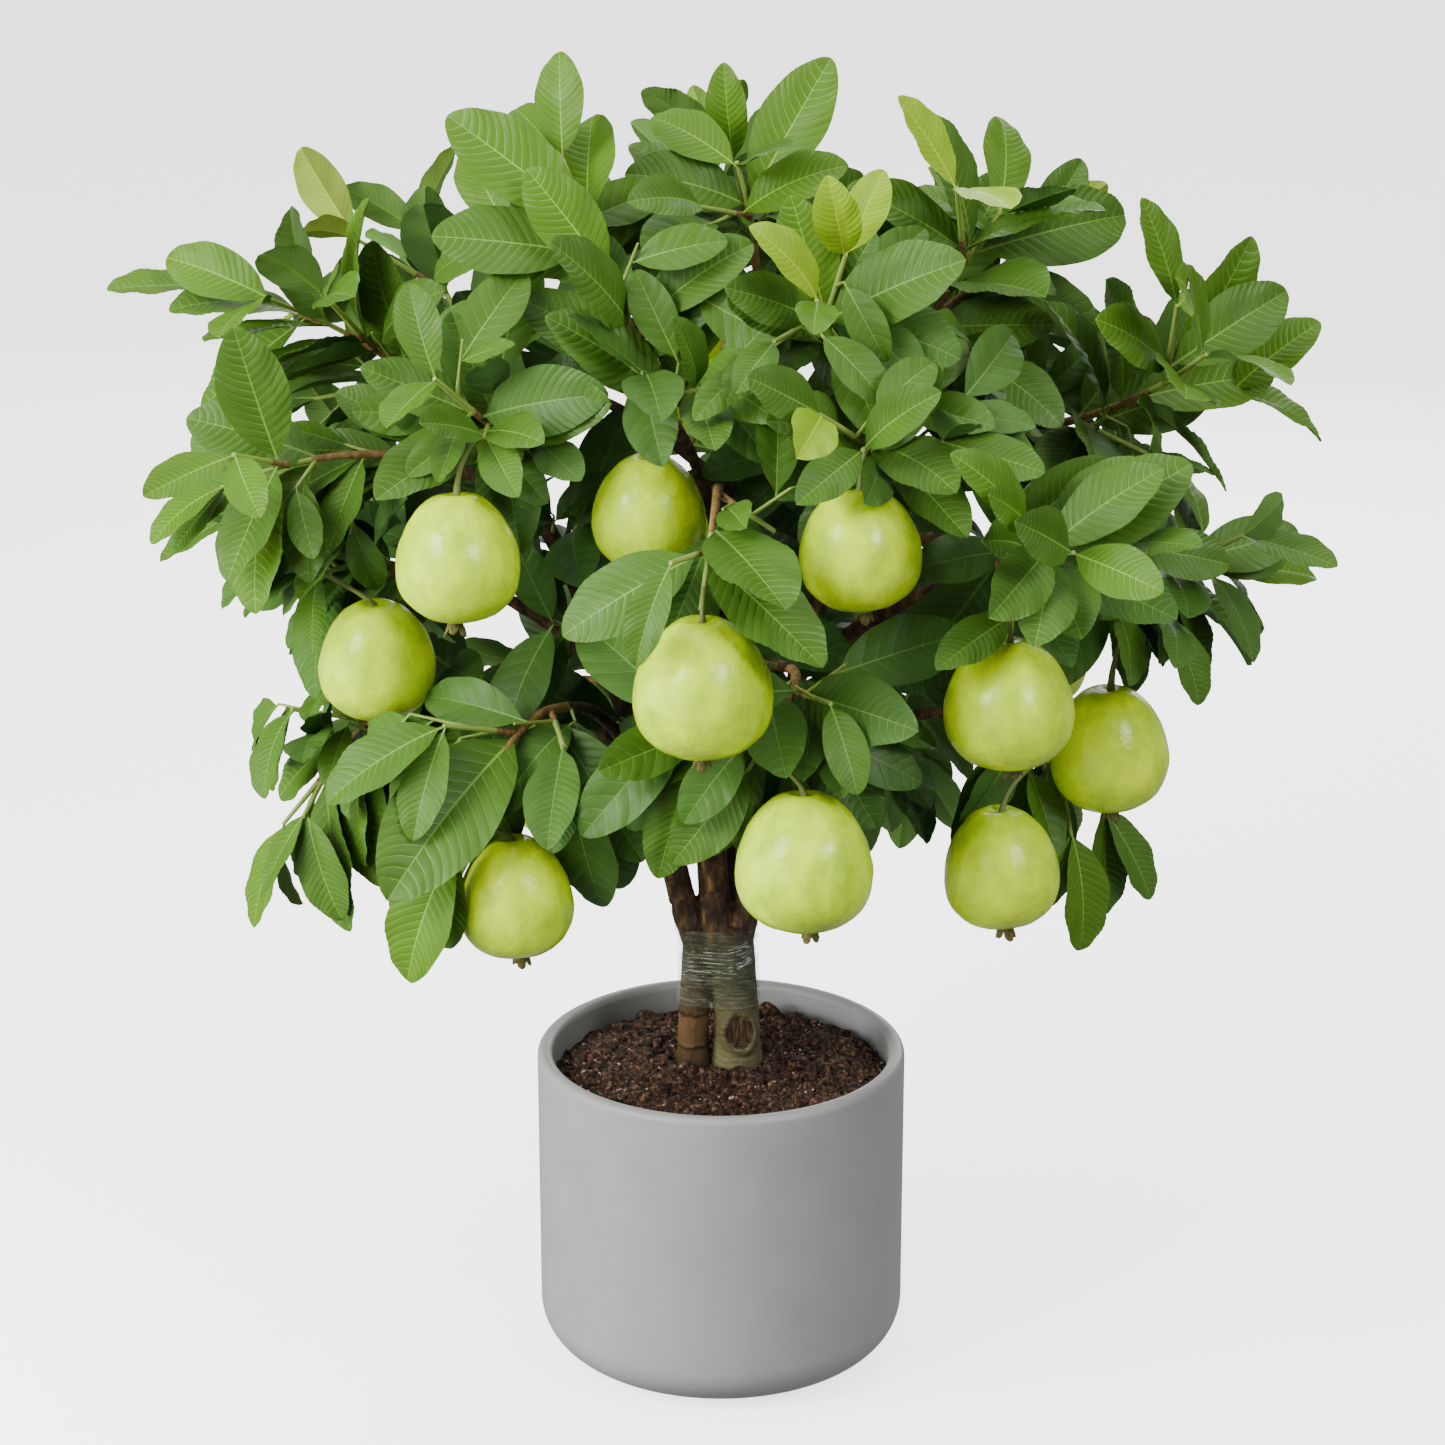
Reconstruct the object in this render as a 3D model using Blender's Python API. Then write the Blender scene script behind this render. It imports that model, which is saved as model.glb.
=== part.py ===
"""Potted guava tree: a twin-stemmed young fruit tree, about 1 m tall, in a round grey pot.

Run it with: blender --background --python part.py
Units are metres and +Z is up. The origin is the centre of the pot's flat underside, +X is to the
right and -Y is the front, which faces the viewer.

The pot, the soil, the trunk with its grafting film, every bough and every mass of foliage is one
named object. A bough leaves a stronger limb, and ends where its mass begins. A mass is one leading
shoot, its side shoots, their leaves in opposite pairs, and the fruit that hangs from them, joined
into one solid. Each mass keeps to its own space: the points that lie nearer to its own shoots and
fruit than to those of any other mass.

A shape is worked out as a shell, which is a list of corner points and a list of faces.
"""

import math
import random

import bmesh
import bpy
import numpy as np
from mathutils import Matrix, Vector
from mathutils.bvhtree import BVHTree

CLEARANCE = 0.0004

# Pot and soil
POT_RADIUS = 0.140
POT_HEIGHT = 0.245
POT_WALL = 0.012
POT_FLOOR = 0.016
POT_CORNER = 0.036
FOOT_RADIUS = 0.102
FOOT_HEIGHT = 0.004
POT_SIDES = 30
SOIL_EDGE_DROP = 0.024
SOIL_HEIGHT = 0.2295
SOIL_LUMP = 0.0035
SEAT_RADIUS = 0.045

# Trunk: two stems side by side that grow together under the film
GROUND = SOIL_HEIGHT + CLEARANCE
TRUNK_TOP = 0.345
STEMS = {"stout": (0.0120, -0.005, 0.0180, 10), "slim": (-0.0210, 0.004, 0.0125, 8)}
STEM_LEVELS = (
    (GROUND, 0.0, 1.12),
    (0.252, 0.0, 1.0),
    (0.285, 0.3, 1.0),
    (0.318, 0.8, 1.04),
    (TRUNK_TOP, 1.0, 0.96),
)
STUB_FOOT = 0.315
STUB_SWELL = 1.12
SCAR_HEIGHT = 0.261
SCAR_RADIUS = 0.0110
SCAR_FACING = Vector((0.12, -1.0, 0.10)).normalized()
FILM_BOTTOM = 0.281
FILM_TOP = 0.343
FILM_GAP = 0.0007
FILM_WALL = 0.0011
FILM_SIDES = 16
FILM_LEVELS = 3

# Limbs that leave the fork: name, foot, tip, bow of the middle, radius at foot and tip
FORK_LIMBS = (
    ("limb_left", (-0.0295, -0.004, 0.367), (-0.138, -0.060, 0.705), (0.010, 0.004, -0.006), 0.0098, 0.0042),
    ("limb_centre", (-0.0055, -0.002, 0.371), (0.022, 0.020, 0.780), (-0.012, -0.004, 0.000), 0.0118, 0.0044),
    ("limb_right", (0.0205, -0.002, 0.366), (0.123, -0.010, 0.750), (-0.006, 0.012, 0.014), 0.0104, 0.0042),
    ("limb_back", (0.0040, 0.022, 0.368), (0.004, 0.136, 0.745), (0.000, -0.016, 0.012), 0.0094, 0.0042),
)

# Boughs: name, limb that it leaves, share of that limb's length, tip, rise of the middle
BOUGHS = (
    ("bough_crown_front_left", "limb_centre", 0.64, (-0.030, -0.098, 0.748), 0.010),
    ("bough_crown_front", "limb_centre", 0.80, (0.056, -0.072, 0.790), 0.008),
    ("bough_front_centre", "limb_centre", 0.52, (-0.002, -0.168, 0.722), 0.030),
    ("bough_front_right", "limb_centre", 0.70, (0.084, -0.112, 0.736), 0.012),
    ("bough_front_low", "limb_centre", 0.30, (0.048, -0.150, 0.590), 0.020),
    ("bough_crown_right", "limb_right", 0.76, (0.232, 0.000, 0.726), 0.010),
    ("bough_right_middle", "limb_right", 0.42, (0.256, -0.040, 0.632), 0.024),
    ("bough_right_front", "limb_right", 0.60, (0.176, -0.115, 0.668), 0.016),
    ("bough_right_low", "limb_right", 0.20, (0.196, -0.040, 0.520), 0.022),
    ("bough_crown_left", "limb_left", 0.80, (-0.206, 0.024, 0.742), 0.010),
    ("bough_left_upper", "limb_left", 0.90, (-0.196, -0.075, 0.716), 0.006),
    ("bough_left_middle", "limb_left", 0.55, (-0.208, -0.014, 0.620), 0.014),
    ("bough_left_low", "limb_left", 0.34, (-0.212, 0.022, 0.520), 0.024),
    ("bough_low_front_left", "limb_left", 0.24, (-0.108, -0.118, 0.552), 0.022),
    ("bough_back_upper_left", "limb_back", 0.74, (-0.128, 0.116, 0.732), 0.014),
    ("bough_back_upper_right", "limb_back", 0.66, (0.132, 0.112, 0.728), 0.014),
    ("bough_back_centre", "limb_back", 0.54, (0.010, 0.222, 0.610), 0.018),
    ("bough_back_left", "limb_back", 0.40, (-0.176, 0.130, 0.580), 0.030),
    ("bough_back_right", "limb_back", 0.34, (0.178, 0.126, 0.570), 0.034),
    ("bough_back_low_left", "limb_back", 0.24, (-0.092, 0.166, 0.486), 0.026),
    ("bough_back_low_right", "limb_back", 0.17, (0.098, 0.164, 0.470), 0.030),
)
BOUGH_BASE_SHARE = 0.80
BOUGH_BASE_MOST = 0.0062
BOUGH_TIP = 0.0036
LIMB_SIDES = 8
LIMB_STEPS = 8
BOUGH_SIDES = 5
BOUGH_STEPS = 4

# Masses: place in the crown, bough or limb that it ends, tip of its leading shoot, leaf pairs on that
# shoot, leaf length, turn of the first pair in degrees, side shoots, their length, droop of the leaves, seed
MASSES = (
    ("crown_front_left", "bough_crown_front_left", (-0.111, -0.073, 0.937), 6, 0.122, 170, 3, 0.075, -0.10, 527),
    ("crown_top", "limb_centre", (0.011, -0.013, 0.919), 5, 0.116, 160, 3, 0.080, 0.30, 183),
    ("crown_upper_right", "limb_right", (0.196, -0.040, 0.890), 5, 0.122, 40, 3, 0.085, 0.00, 523),
    ("crown_right", "bough_crown_right", (0.334, -0.095, 0.799), 4, 0.122, 30, 3, 0.080, -0.20, 164),
    ("right_middle", "bough_right_middle", (0.349, -0.065, 0.635), 3, 0.110, 30, 3, 0.075, 0.10, 55),
    ("right_front", "bough_right_front", (0.231, -0.249, 0.699), 4, 0.116, 50, 3, 0.075, 0.05, 419),
    ("right_low", "bough_right_low", (0.251, -0.106, 0.451), 3, 0.132, 0, 3, 0.070, 1.10, 594),
    ("crown_left", "bough_crown_left", (-0.322, -0.010, 0.822), 4, 0.130, 80, 3, 0.080, 0.10, 621),
    ("left_upper", "bough_left_upper", (-0.341, -0.145, 0.717), 5, 0.106, 80, 2, 0.075, 0.45, 979),
    ("left_middle", "bough_left_middle", (-0.316, -0.047, 0.646), 3, 0.112, 40, 3, 0.065, 0.35, 490),
    ("left_low", "bough_left_low", (-0.306, -0.047, 0.445), 3, 0.120, 140, 3, 0.065, 0.95, 879),
    ("low_front_left", "bough_low_front_left", (-0.184, -0.224, 0.481), 4, 0.149, 170, 3, 0.065, 0.85, 400),
    ("front_left", "limb_left", (-0.158, -0.183, 0.761), 4, 0.108, 30, 3, 0.070, 0.05, 204),
    ("front_centre", "bough_front_centre", (-0.013, -0.278, 0.668), 3, 0.118, 160, 2, 0.065, 0.30, 332),
    ("front_low", "bough_front_low", (0.018, -0.236, 0.544), 3, 0.126, 80, 3, 0.070, 0.75, 362),
    ("front_right", "bough_front_right", (0.093, -0.228, 0.763), 3, 0.120, 50, 3, 0.065, 0.05, 739),
    ("crown_front", "bough_crown_front", (0.063, -0.191, 0.855), 3, 0.110, 120, 3, 0.065, 0.00, 681),
    ("back_top", "limb_back", (-0.003, 0.160, 0.892), 4, 0.106, 80, 2, 0.085, 0.05, 267),
    ("back_upper_left", "bough_back_upper_left", (-0.228, 0.142, 0.848), 4, 0.112, 40, 2, 0.085, -0.05, 573),
    ("back_upper_right", "bough_back_upper_right", (0.237, 0.170, 0.833), 4, 0.118, 50, 2, 0.085, 0.40, 420),
    ("back_centre", "bough_back_centre", (0.014, 0.318, 0.655), 4, 0.122, 40, 2, 0.075, 0.10, 937),
    ("back_left", "bough_back_left", (-0.300, 0.190, 0.620), 4, 0.116, 140, 2, 0.080, 0.15, 593),
    ("back_right", "bough_back_right", (0.283, 0.199, 0.602), 4, 0.116, 170, 2, 0.080, 0.15, 116),
    ("back_low_left", "bough_back_low_left", (-0.153, 0.258, 0.479), 3, 0.128, 20, 2, 0.075, 0.30, 937),
    ("back_low_right", "bough_back_low_right", (0.158, 0.267, 0.460), 3, 0.128, 60, 2, 0.075, 0.75, 738),
)

# Fruit: mass that it hangs in, centre, width, height
FRUITS = (
    ("front_left", (-0.176, -0.200, 0.683), 0.084, 0.090),
    ("left_middle", (-0.241, -0.120, 0.588), 0.082, 0.087),
    ("crown_front_left", (-0.049, -0.160, 0.704), 0.078, 0.082),
    ("front_centre", (-0.012, -0.285, 0.618), 0.092, 0.096),
    ("front_right", (0.092, -0.220, 0.695), 0.082, 0.086),
    ("front_low", (0.056, -0.262, 0.489), 0.093, 0.098),
    ("right_front", (0.195, -0.205, 0.582), 0.089, 0.092),
    ("right_middle", (0.276, -0.100, 0.516), 0.084, 0.094),
    ("right_low", (0.197, -0.150, 0.444), 0.082, 0.089),
    ("low_front_left", (-0.142, -0.205, 0.443), 0.080, 0.088),
    ("crown_right", (0.238, -0.045, 0.668), 0.066, 0.068),
    ("back_top", (-0.016, 0.206, 0.716), 0.080, 0.084),
    ("back_left", (-0.250, 0.190, 0.520), 0.086, 0.092),
    ("back_right", (0.246, 0.176, 0.506), 0.086, 0.092),
    ("back_centre", (0.012, 0.300, 0.560), 0.090, 0.094),
    ("back_low_left", (-0.130, 0.235, 0.375), 0.084, 0.090),
)
FRUIT_SIDES = 8
FRUIT_RINGS = 5
STALK_RADIUS = 0.0017
CALYX_RADIUS = 0.0056
CALYX_HEIGHT = 0.009
CALYX_SIDES = 3

# Shoots
TWIG_TIP = 0.0016
SIDE_TWIG_BASE = 0.0026
TWIG_SIDES = 3
LEADER_STEPS = 4
SIDE_PAIRS = 2
FIRST_SIDE_TWIG = 0.16
LAST_SIDE_TWIG = 0.72
SIDE_ANGLE = math.radians(52)
GOLDEN_ANGLE = math.radians(137.5)
FIRST_PAIR = 0.18
LAST_PAIR = 0.97
SHOOT_REACH = 0.05

# Leaves: angle to the shoot at its foot and at its tip, form, and how they turn to the light
LEAF_ANGLE_FOOT = math.radians(68)
LEAF_ANGLE_TIP = math.radians(34)
LEAF_ASPECT = 0.47
LEAF_THICKNESS = 0.014
PETIOLE_SHARE = 0.06
LEAF_FOOT = [(0, 1, 2), (0, 2, 3), (0, 3, 4), (0, 4, 1)]
LEAF_BLADE = [(1, 5, 2), (2, 5, 6), (2, 6, 3), (1, 4, 5), (4, 6, 5), (4, 3, 6)]
LEAF_WIDEST = 0.44
LEAF_BLUNT = 0.92
LEAF_FULLNESS = 1.08
YOUNG_SIZE = 0.68
LIGHT_RISE = 0.62
LIGHT_OUTWARD = 0.75
LIGHT_SIDEWAYS = 0.55
LIGHT_DEPTH = 0.10
BACK_BEGINS = 0.12
SPREAD_TO_LIGHT = 0.45

# Room that a leaf keeps
SPACE_MARGIN = 0.0010
SOLID_MARGIN = 0.0015
TWIG_MARGIN = 0.0030
LEAF_TRIES = 14
BLADE_START = 0.1
CROWN_LOW = (-0.470, -0.400, 0.300)
CROWN_HIGH = (0.475, 0.400, 1.020)

MATERIALS = {
    "pot": ((0.42, 0.43, 0.43), 0.45),
    "soil": ((0.045, 0.025, 0.017), 0.95),
    "bark": ((0.16, 0.11, 0.065), 0.80),
    "film": ((0.55, 0.57, 0.52), 0.25),
    "foliage": ((0.09, 0.21, 0.05), 0.45),
}


def material(name):
    """The Principled material of that name, made once."""
    found = bpy.data.materials.get(name)
    if found:
        return found
    colour, roughness = MATERIALS[name]
    made = bpy.data.materials.new(name)
    made.use_nodes = True
    shader = made.node_tree.nodes["Principled BSDF"]
    shader.inputs["Base Color"].default_value = (*colour, 1.0)
    shader.inputs["Roughness"].default_value = roughness
    shader.inputs["Metallic"].default_value = 0.0
    return made


def mesh_from(name, shell):
    """The mesh of a closed shell, with its faces pointing out."""
    mesh = bpy.data.meshes.new(name)
    mesh.from_pydata(shell[0], [], shell[1])
    bm = bmesh.new()
    bm.from_mesh(mesh)
    bmesh.ops.recalc_face_normals(bm, faces=bm.faces)
    bm.to_mesh(mesh)
    bm.free()
    return mesh


def add_object(name, mesh, slot):
    """Links a mesh to the scene as a named object with its material."""
    made = bpy.data.objects.new(name, mesh)
    mesh.materials.append(material(slot))
    bpy.context.scene.collection.objects.link(made)
    return made


def apply_boolean(target, modifier, helpers):
    """Applies the Boolean modifier of target and removes the objects that it used."""
    graph = bpy.context.evaluated_depsgraph_get()
    result = bpy.data.meshes.new_from_object(target.evaluated_get(graph))
    target.modifiers.remove(modifier)
    target.data = result
    for helper in helpers:
        bpy.data.objects.remove(helper)


def join(target, shells):
    """Joins closed shells to target by one Boolean union on a collection of them."""
    helpers = bpy.data.collections.new(target.name + "_parts")
    bpy.context.scene.collection.children.link(helpers)
    for i, shell in enumerate(shells):
        name = f"{target.name}_{i}"
        helpers.objects.link(bpy.data.objects.new(name, mesh_from(name, shell)))
    modifier = target.modifiers.new("join", "BOOLEAN")
    modifier.operation = "UNION"
    modifier.operand_type = "COLLECTION"
    modifier.collection = helpers
    apply_boolean(target, modifier, list(helpers.objects))
    bpy.data.collections.remove(helpers)
    keep_outer_body(target.data)


def keep_outer_body(mesh):
    """Drops all but the largest body of a mesh, which fills sealed hollows and removes loose scraps."""
    bm = bmesh.new()
    bm.from_mesh(mesh)
    waiting = set(bm.verts)
    bodies = []
    while waiting:
        body, edge = set(), [waiting.pop()]
        while edge:
            corner = edge.pop()
            body.add(corner)
            near = [link.other_vert(corner) for link in corner.link_edges]
            edge += [other for other in near if other in waiting]
            waiting.difference_update(near)
        bodies.append(body)
    bodies.sort(key=len)
    bmesh.ops.delete(bm, geom=[corner for body in bodies[:-1] for corner in body], context="VERTS")
    bm.to_mesh(mesh)
    bm.free()


def cut(target, shell):
    """Cuts a closed shell out of target."""
    cutter = bpy.data.objects.new("cutter", mesh_from("cutter", shell))
    bpy.context.scene.collection.objects.link(cutter)
    modifier = target.modifiers.new("cut", "BOOLEAN")
    modifier.operation = "DIFFERENCE"
    modifier.object = cutter
    apply_boolean(target, modifier, [cutter])


def bend(start, middle, end, steps):
    """Points on a smooth curve from start to end that is drawn towards middle."""
    points = []
    for step in range(steps + 1):
        t = step / steps
        points.append(start * (1 - t) ** 2 + middle * (2 * t * (1 - t)) + end * t**2)
    return points


def directions_of(points):
    """The unit direction of a path at each of its points."""
    last = len(points) - 1
    return [(points[min(i + 1, last)] - points[max(i - 1, 0)]).normalized() for i in range(last + 1)]


def side_of(direction):
    """A unit vector square to direction, level where it can be."""
    side = direction.cross(Vector((0, 0, 1)))
    if side.length < 0.05:
        side = direction.cross(Vector((0, 1, 0)))
    return side.normalized()


def tapered(first, last, count):
    """Radii that fall evenly from first to last."""
    return [first + (last - first) * i / (count - 1) for i in range(count)]


def tube(rings):
    """The shell through rings of equal count, closed with a flat face at each end."""
    count = len(rings[0])
    corners = [point for ring in rings for point in ring]
    faces = [tuple(range(count))[::-1], tuple(range(len(corners) - count, len(corners)))]
    for low in range(0, len(corners) - count, count):
        for i in range(count):
            j = (i + 1) % count
            faces.append((low + i, low + j, low + count + j, low + count + i))
    return corners, faces


def spindle(start, rings, end):
    """The shell from a point through rings of equal count to another point."""
    count = len(rings[0])
    corners, faces = tube(rings)
    first, last = len(corners), len(corners) + 1
    bottom = [(first, (i + 1) % count, i) for i in range(count)]
    high = len(corners) - count
    top = [(last, high + i, high + (i + 1) % count) for i in range(count)]
    return corners + [start, end], bottom + faces[2:] + top


def rod(points, radii, sides, directions=None):
    """The shell of a tapering rod along points, its rings square to directions or to the path."""
    directions = directions or directions_of(points)
    side = side_of(directions[0])
    rings = []
    for point, direction, radius in zip(points, directions, radii):
        side = (side - direction * side.dot(direction)).normalized()
        up = side.cross(direction)
        turns = [math.tau * i / sides for i in range(sides)]
        rings.append([point + (side * math.cos(a) + up * math.sin(a)) * radius for a in turns])
    return tube(rings)


def together(shells):
    """Several shells as one list of corners and one list of faces."""
    corners, faces = [], []
    for more_corners, more_faces in shells:
        offset = len(corners)
        corners += more_corners
        faces += [tuple(i + offset for i in face) for face in more_faces]
    return corners, faces


def arc(centre, radius, first, last, steps):
    """Points (r, z) on an arc between two angles in degrees."""
    points = []
    for step in range(steps + 1):
        angle = math.radians(first + (last - first) * step / steps)
        points.append((centre[0] + radius * math.cos(angle), centre[1] + radius * math.sin(angle)))
    return points


def turned(profile):
    """The closed shell turned about Z from a profile of (r, z) that starts and ends off the axis."""
    turns = [math.tau * i / POT_SIDES for i in range(POT_SIDES)]
    return tube([[Vector((r * math.cos(a), r * math.sin(a), z)) for a in turns] for r, z in profile])


def build_pot():
    """A straight-sided round pot with a rounded foot and lip, standing on a low step."""
    inner = POT_RADIUS - POT_WALL
    lip = POT_WALL / 2
    profile = [(FOOT_RADIUS, 0), (FOOT_RADIUS, FOOT_HEIGHT)]
    profile += arc((POT_RADIUS - POT_CORNER, FOOT_HEIGHT + POT_CORNER), POT_CORNER, -84, 0, 4)
    profile += arc((POT_RADIUS - lip, POT_HEIGHT - lip), lip, 0, 180, 3)
    profile += [(inner, POT_FLOOR + POT_CORNER), (inner - POT_CORNER * 0.7, POT_FLOOR)]
    pot = add_object("pot", mesh_from("pot", turned(profile)), "pot")
    pot.data.shade_smooth()


def build_soil():
    """The soil that fills the pot, mounded towards the trunk, with a flat seat under it."""
    rim = POT_RADIUS - POT_WALL - CLEARANCE
    edge = POT_HEIGHT - SOIL_EDGE_DROP
    low = POT_FLOOR + CLEARANCE
    profile = [(rim - POT_CORNER * 0.72, low), (rim, low + POT_CORNER), (rim, edge)]
    profile += [(rim * 0.90, edge + 0.003), (rim * 0.68, SOIL_HEIGHT + 0.001), (SEAT_RADIUS, SOIL_HEIGHT)]
    corners, faces = turned(profile)
    lumps = random.Random(5)
    for point in corners[3 * POT_SIDES : 5 * POT_SIDES]:
        point.z += lumps.uniform(-SOIL_LUMP, SOIL_LUMP)
    soil = add_object("soil", mesh_from("soil", (corners, faces)), "soil")
    soil.data.shade_smooth()


def stem_path(name):
    """The rod of a stem, from the ground up, leaning in to the other one, with its foot cut level."""
    x, lean, radius, sides = STEMS[name]
    points = [Vector((x + lean * share, 0, z)) for z, share, _ in STEM_LEVELS]
    return points, [radius * swell for _, _, swell in STEM_LEVELS], sides, [Vector((0, 0, 1))] * len(points)


def stub_path(limb):
    """The rod of the trunk's stub that meets a limb's foot face to face."""
    end = limb.points[0] - limb.directions[0] * CLEARANCE
    start = Vector((end.x * 0.50, end.y * 0.30, STUB_FOOT))
    middle = start.lerp(end, 0.5) - limb.directions[0] * 0.004
    radius = limb.radii[0]
    points = bend(start, middle, end, 2)
    directions = directions_of(points)[:-1] + [limb.directions[0]]
    return points, [radius * STUB_SWELL, radius * STUB_SWELL, radius], LIMB_SIDES, directions


def trunk_rods():
    """The rods of everything that makes the trunk's outline: centre line, radii, sides, directions."""
    return [stem_path(name) for name in STEMS] + [stub_path(LIMBS[row[0]]) for row in FORK_LIMBS]


def build_trunk():
    """Two stems that merge under the film, with a pruning scar in front and a stub for each limb."""
    first, *others = [rod(*row) for row in trunk_rods()]
    trunk = add_object("trunk", mesh_from("trunk", first), "bark")
    centre = Vector((STEMS["stout"][0], 0, SCAR_HEIGHT))
    surface = STEMS["stout"][2]
    reach = [centre + SCAR_FACING * (surface + out) for out in (-0.008, 0.0005, 0.0045)]
    scar = rod(reach, [SCAR_RADIUS, SCAR_RADIUS * 1.1, SCAR_RADIUS * 0.7], 8)
    join(trunk, [*others, scar])
    trunk.data.set_sharp_from_angle(angle=math.radians(50))


def film_outline(height, growth):
    """The line that a stretched band takes round all that stands in it at a height."""
    circles = []
    for points, radii, *_ in trunk_rods():
        for i in range(len(points) - 1):
            low, high = points[i].z, points[i + 1].z
            if low <= height <= high:
                share = (height - low) / (high - low)
                centre = points[i].lerp(points[i + 1], share)
                circles.append((centre, radii[i] + (radii[i + 1] - radii[i]) * share + growth))
    outline = []
    for i in range(FILM_SIDES):
        out = Vector((math.cos(math.tau * i / FILM_SIDES), math.sin(math.tau * i / FILM_SIDES), 0))
        centre, radius = max(circles, key=lambda circle: circle[0].dot(out) + circle[1])
        point = centre + out * radius
        outline.append(Vector((point.x, point.y, height)))
    return outline


def build_film():
    """A sleeve of stretched film wound round the graft, clear of the bark all round."""
    levels = [FILM_BOTTOM + (FILM_TOP - FILM_BOTTOM) * i / (FILM_LEVELS - 1) for i in range(FILM_LEVELS)]
    rings = [film_outline(z, FILM_GAP + FILM_WALL) for z in levels]
    rings += [film_outline(z, FILM_GAP) for z in reversed(levels)]
    corners, faces = tube(rings)
    last = len(corners) - FILM_SIDES
    close = [(last + i, last + (i + 1) % FILM_SIDES, (i + 1) % FILM_SIDES, i) for i in range(FILM_SIDES)]
    film = add_object("grafting_film", mesh_from("grafting_film", (corners, faces[2:] + close)), "film")
    film.data.shade_smooth()


class Limb:
    """One tapering limb or bough: its centre line, its radii and the limb that it leaves."""

    def __init__(self, points, first, last, sides, carrier=None):
        self.points = points
        self.radii = tapered(first, last, len(points))
        self.directions = directions_of(points)
        self.sides = sides
        self.carrier = carrier

    def at(self, share):
        """The point and the radius at a share of the limb's length."""
        place = share * (len(self.points) - 1)
        low = min(int(place), len(self.points) - 2)
        part = place - low
        point = self.points[low].lerp(self.points[low + 1], part)
        return point, self.radii[low] * (1 - part) + self.radii[low + 1] * part

    def shell(self, growth=0.0):
        """The limb's rod, thicker all round by growth."""
        return rod(self.points, [radius + growth for radius in self.radii], self.sides)


def plan_limbs():
    """All limbs and boughs by name, worked out from the tables above."""
    limbs = {}
    for name, foot, tip, bow, first, last in FORK_LIMBS:
        start, end = Vector(foot), Vector(tip)
        middle = start.lerp(end, 0.5) + Vector(bow) * 2
        limbs[name] = Limb(bend(start, middle, end, LIMB_STEPS), first, last, LIMB_SIDES)
    for name, carrier, share, tip, rise in BOUGHS:
        start, radius = limbs[carrier].at(share)
        end = Vector(tip)
        middle = start.lerp(end, 0.5) + Vector((0, 0, rise)) * 2
        first = min(radius * BOUGH_BASE_SHARE, BOUGH_BASE_MOST)
        limbs[name] = Limb(bend(start, middle, end, BOUGH_STEPS), first, BOUGH_TIP, BOUGH_SIDES, carrier)
    return limbs


def build_limbs():
    """Every limb and bough. A bough starts inside its carrier and is cut back to clear it."""
    for name, limb in LIMBS.items():
        made = add_object(name, mesh_from(name, limb.shell()), "bark")
        if limb.carrier:
            cut(made, LIMBS[limb.carrier].shell(CLEARANCE))
        made.data.shade_smooth()


class Leaf:
    """One leaf: where it joins its shoot, how it points and faces, and how its blade curves."""

    def __init__(self, root, along, face, length, draw):
        self.root = root
        self.along = along
        self.face = face
        self.side = along.cross(face)
        self.length = length
        self.width = length * LEAF_ASPECT * draw.uniform(0.92, 1.08)
        self.arch = draw.uniform(0.15, 0.90)
        self.fold = draw.uniform(0.10, 0.45)
        self.twist = draw.uniform(-0.40, 0.40)

    def half_width(self, u):
        """Half the blade's width at a share u of its length."""
        if u <= PETIOLE_SHARE:
            return self.width * 0.03
        share = (u - PETIOLE_SHARE) / (1 - PETIOLE_SHARE)
        return self.width * (0.03 + 0.47 * math.sin(math.pi * share**0.95) ** 0.65)

    def frame(self, u):
        """The midrib's point at u, and the blade's side and up directions there."""
        turn = self.arch * u
        out = self.length * math.sin(turn) / self.arch
        drop = self.length * (1 - math.cos(turn)) / self.arch
        point = self.root + self.along * out - self.face * drop
        up = self.face * math.cos(turn) + self.along * math.sin(turn)
        roll = self.twist * u
        side = self.side * math.cos(roll) + up * math.sin(roll)
        return point, side, up * math.cos(roll) - self.side * math.sin(roll)

    def point(self, u, v):
        """A point of the blade: u along its length, v from -1 to 1 across it."""
        middle, side, up = self.frame(u)
        reach = self.half_width(u) * v
        return middle + side * (reach * math.cos(self.fold)) + up * (abs(reach) * math.sin(self.fold))

    def samples(self):
        """Points that stand for the whole blade when its space is tested."""
        found = [self.point(u, v) for u in (0.2, 0.32, 0.52, 0.72, 0.88) for v in (-1, -0.5, 0, 0.5, 1)]
        return found + [self.point(1, 0)]

    def shell(self, start=0.0, growth=0.0):
        """The blade as a thin closed shell of 10 faces from u = start, grown all round by growth."""
        depth = self.length * LEAF_THICKNESS / 2 + growth
        middle, side, up = self.frame(LEAF_WIDEST)
        tip_side = self.frame(LEAF_BLUNT)[1]
        corners = [self.frame(start)[0] + self.along * CLEARANCE]
        corners += [self.point(LEAF_WIDEST, -LEAF_FULLNESS) - side * growth, middle + up * depth]
        corners += [self.point(LEAF_WIDEST, LEAF_FULLNESS) + side * growth, middle - up * depth]
        corners += [self.point(LEAF_BLUNT, hand) + tip_side * hand * growth for hand in (-1, 1)]
        return corners, LEAF_FOOT + LEAF_BLADE


def fruit_radius(width, height, latitude):
    """A fruit's distance from its centre at a latitude in radians, fullest under the middle."""
    wide, tall = width / 2, height / 2
    ellipse = wide * tall / math.hypot(tall * math.cos(latitude), wide * math.sin(latitude))
    return ellipse * (1 - 0.05 * math.sin(latitude) * math.cos(latitude))


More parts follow.
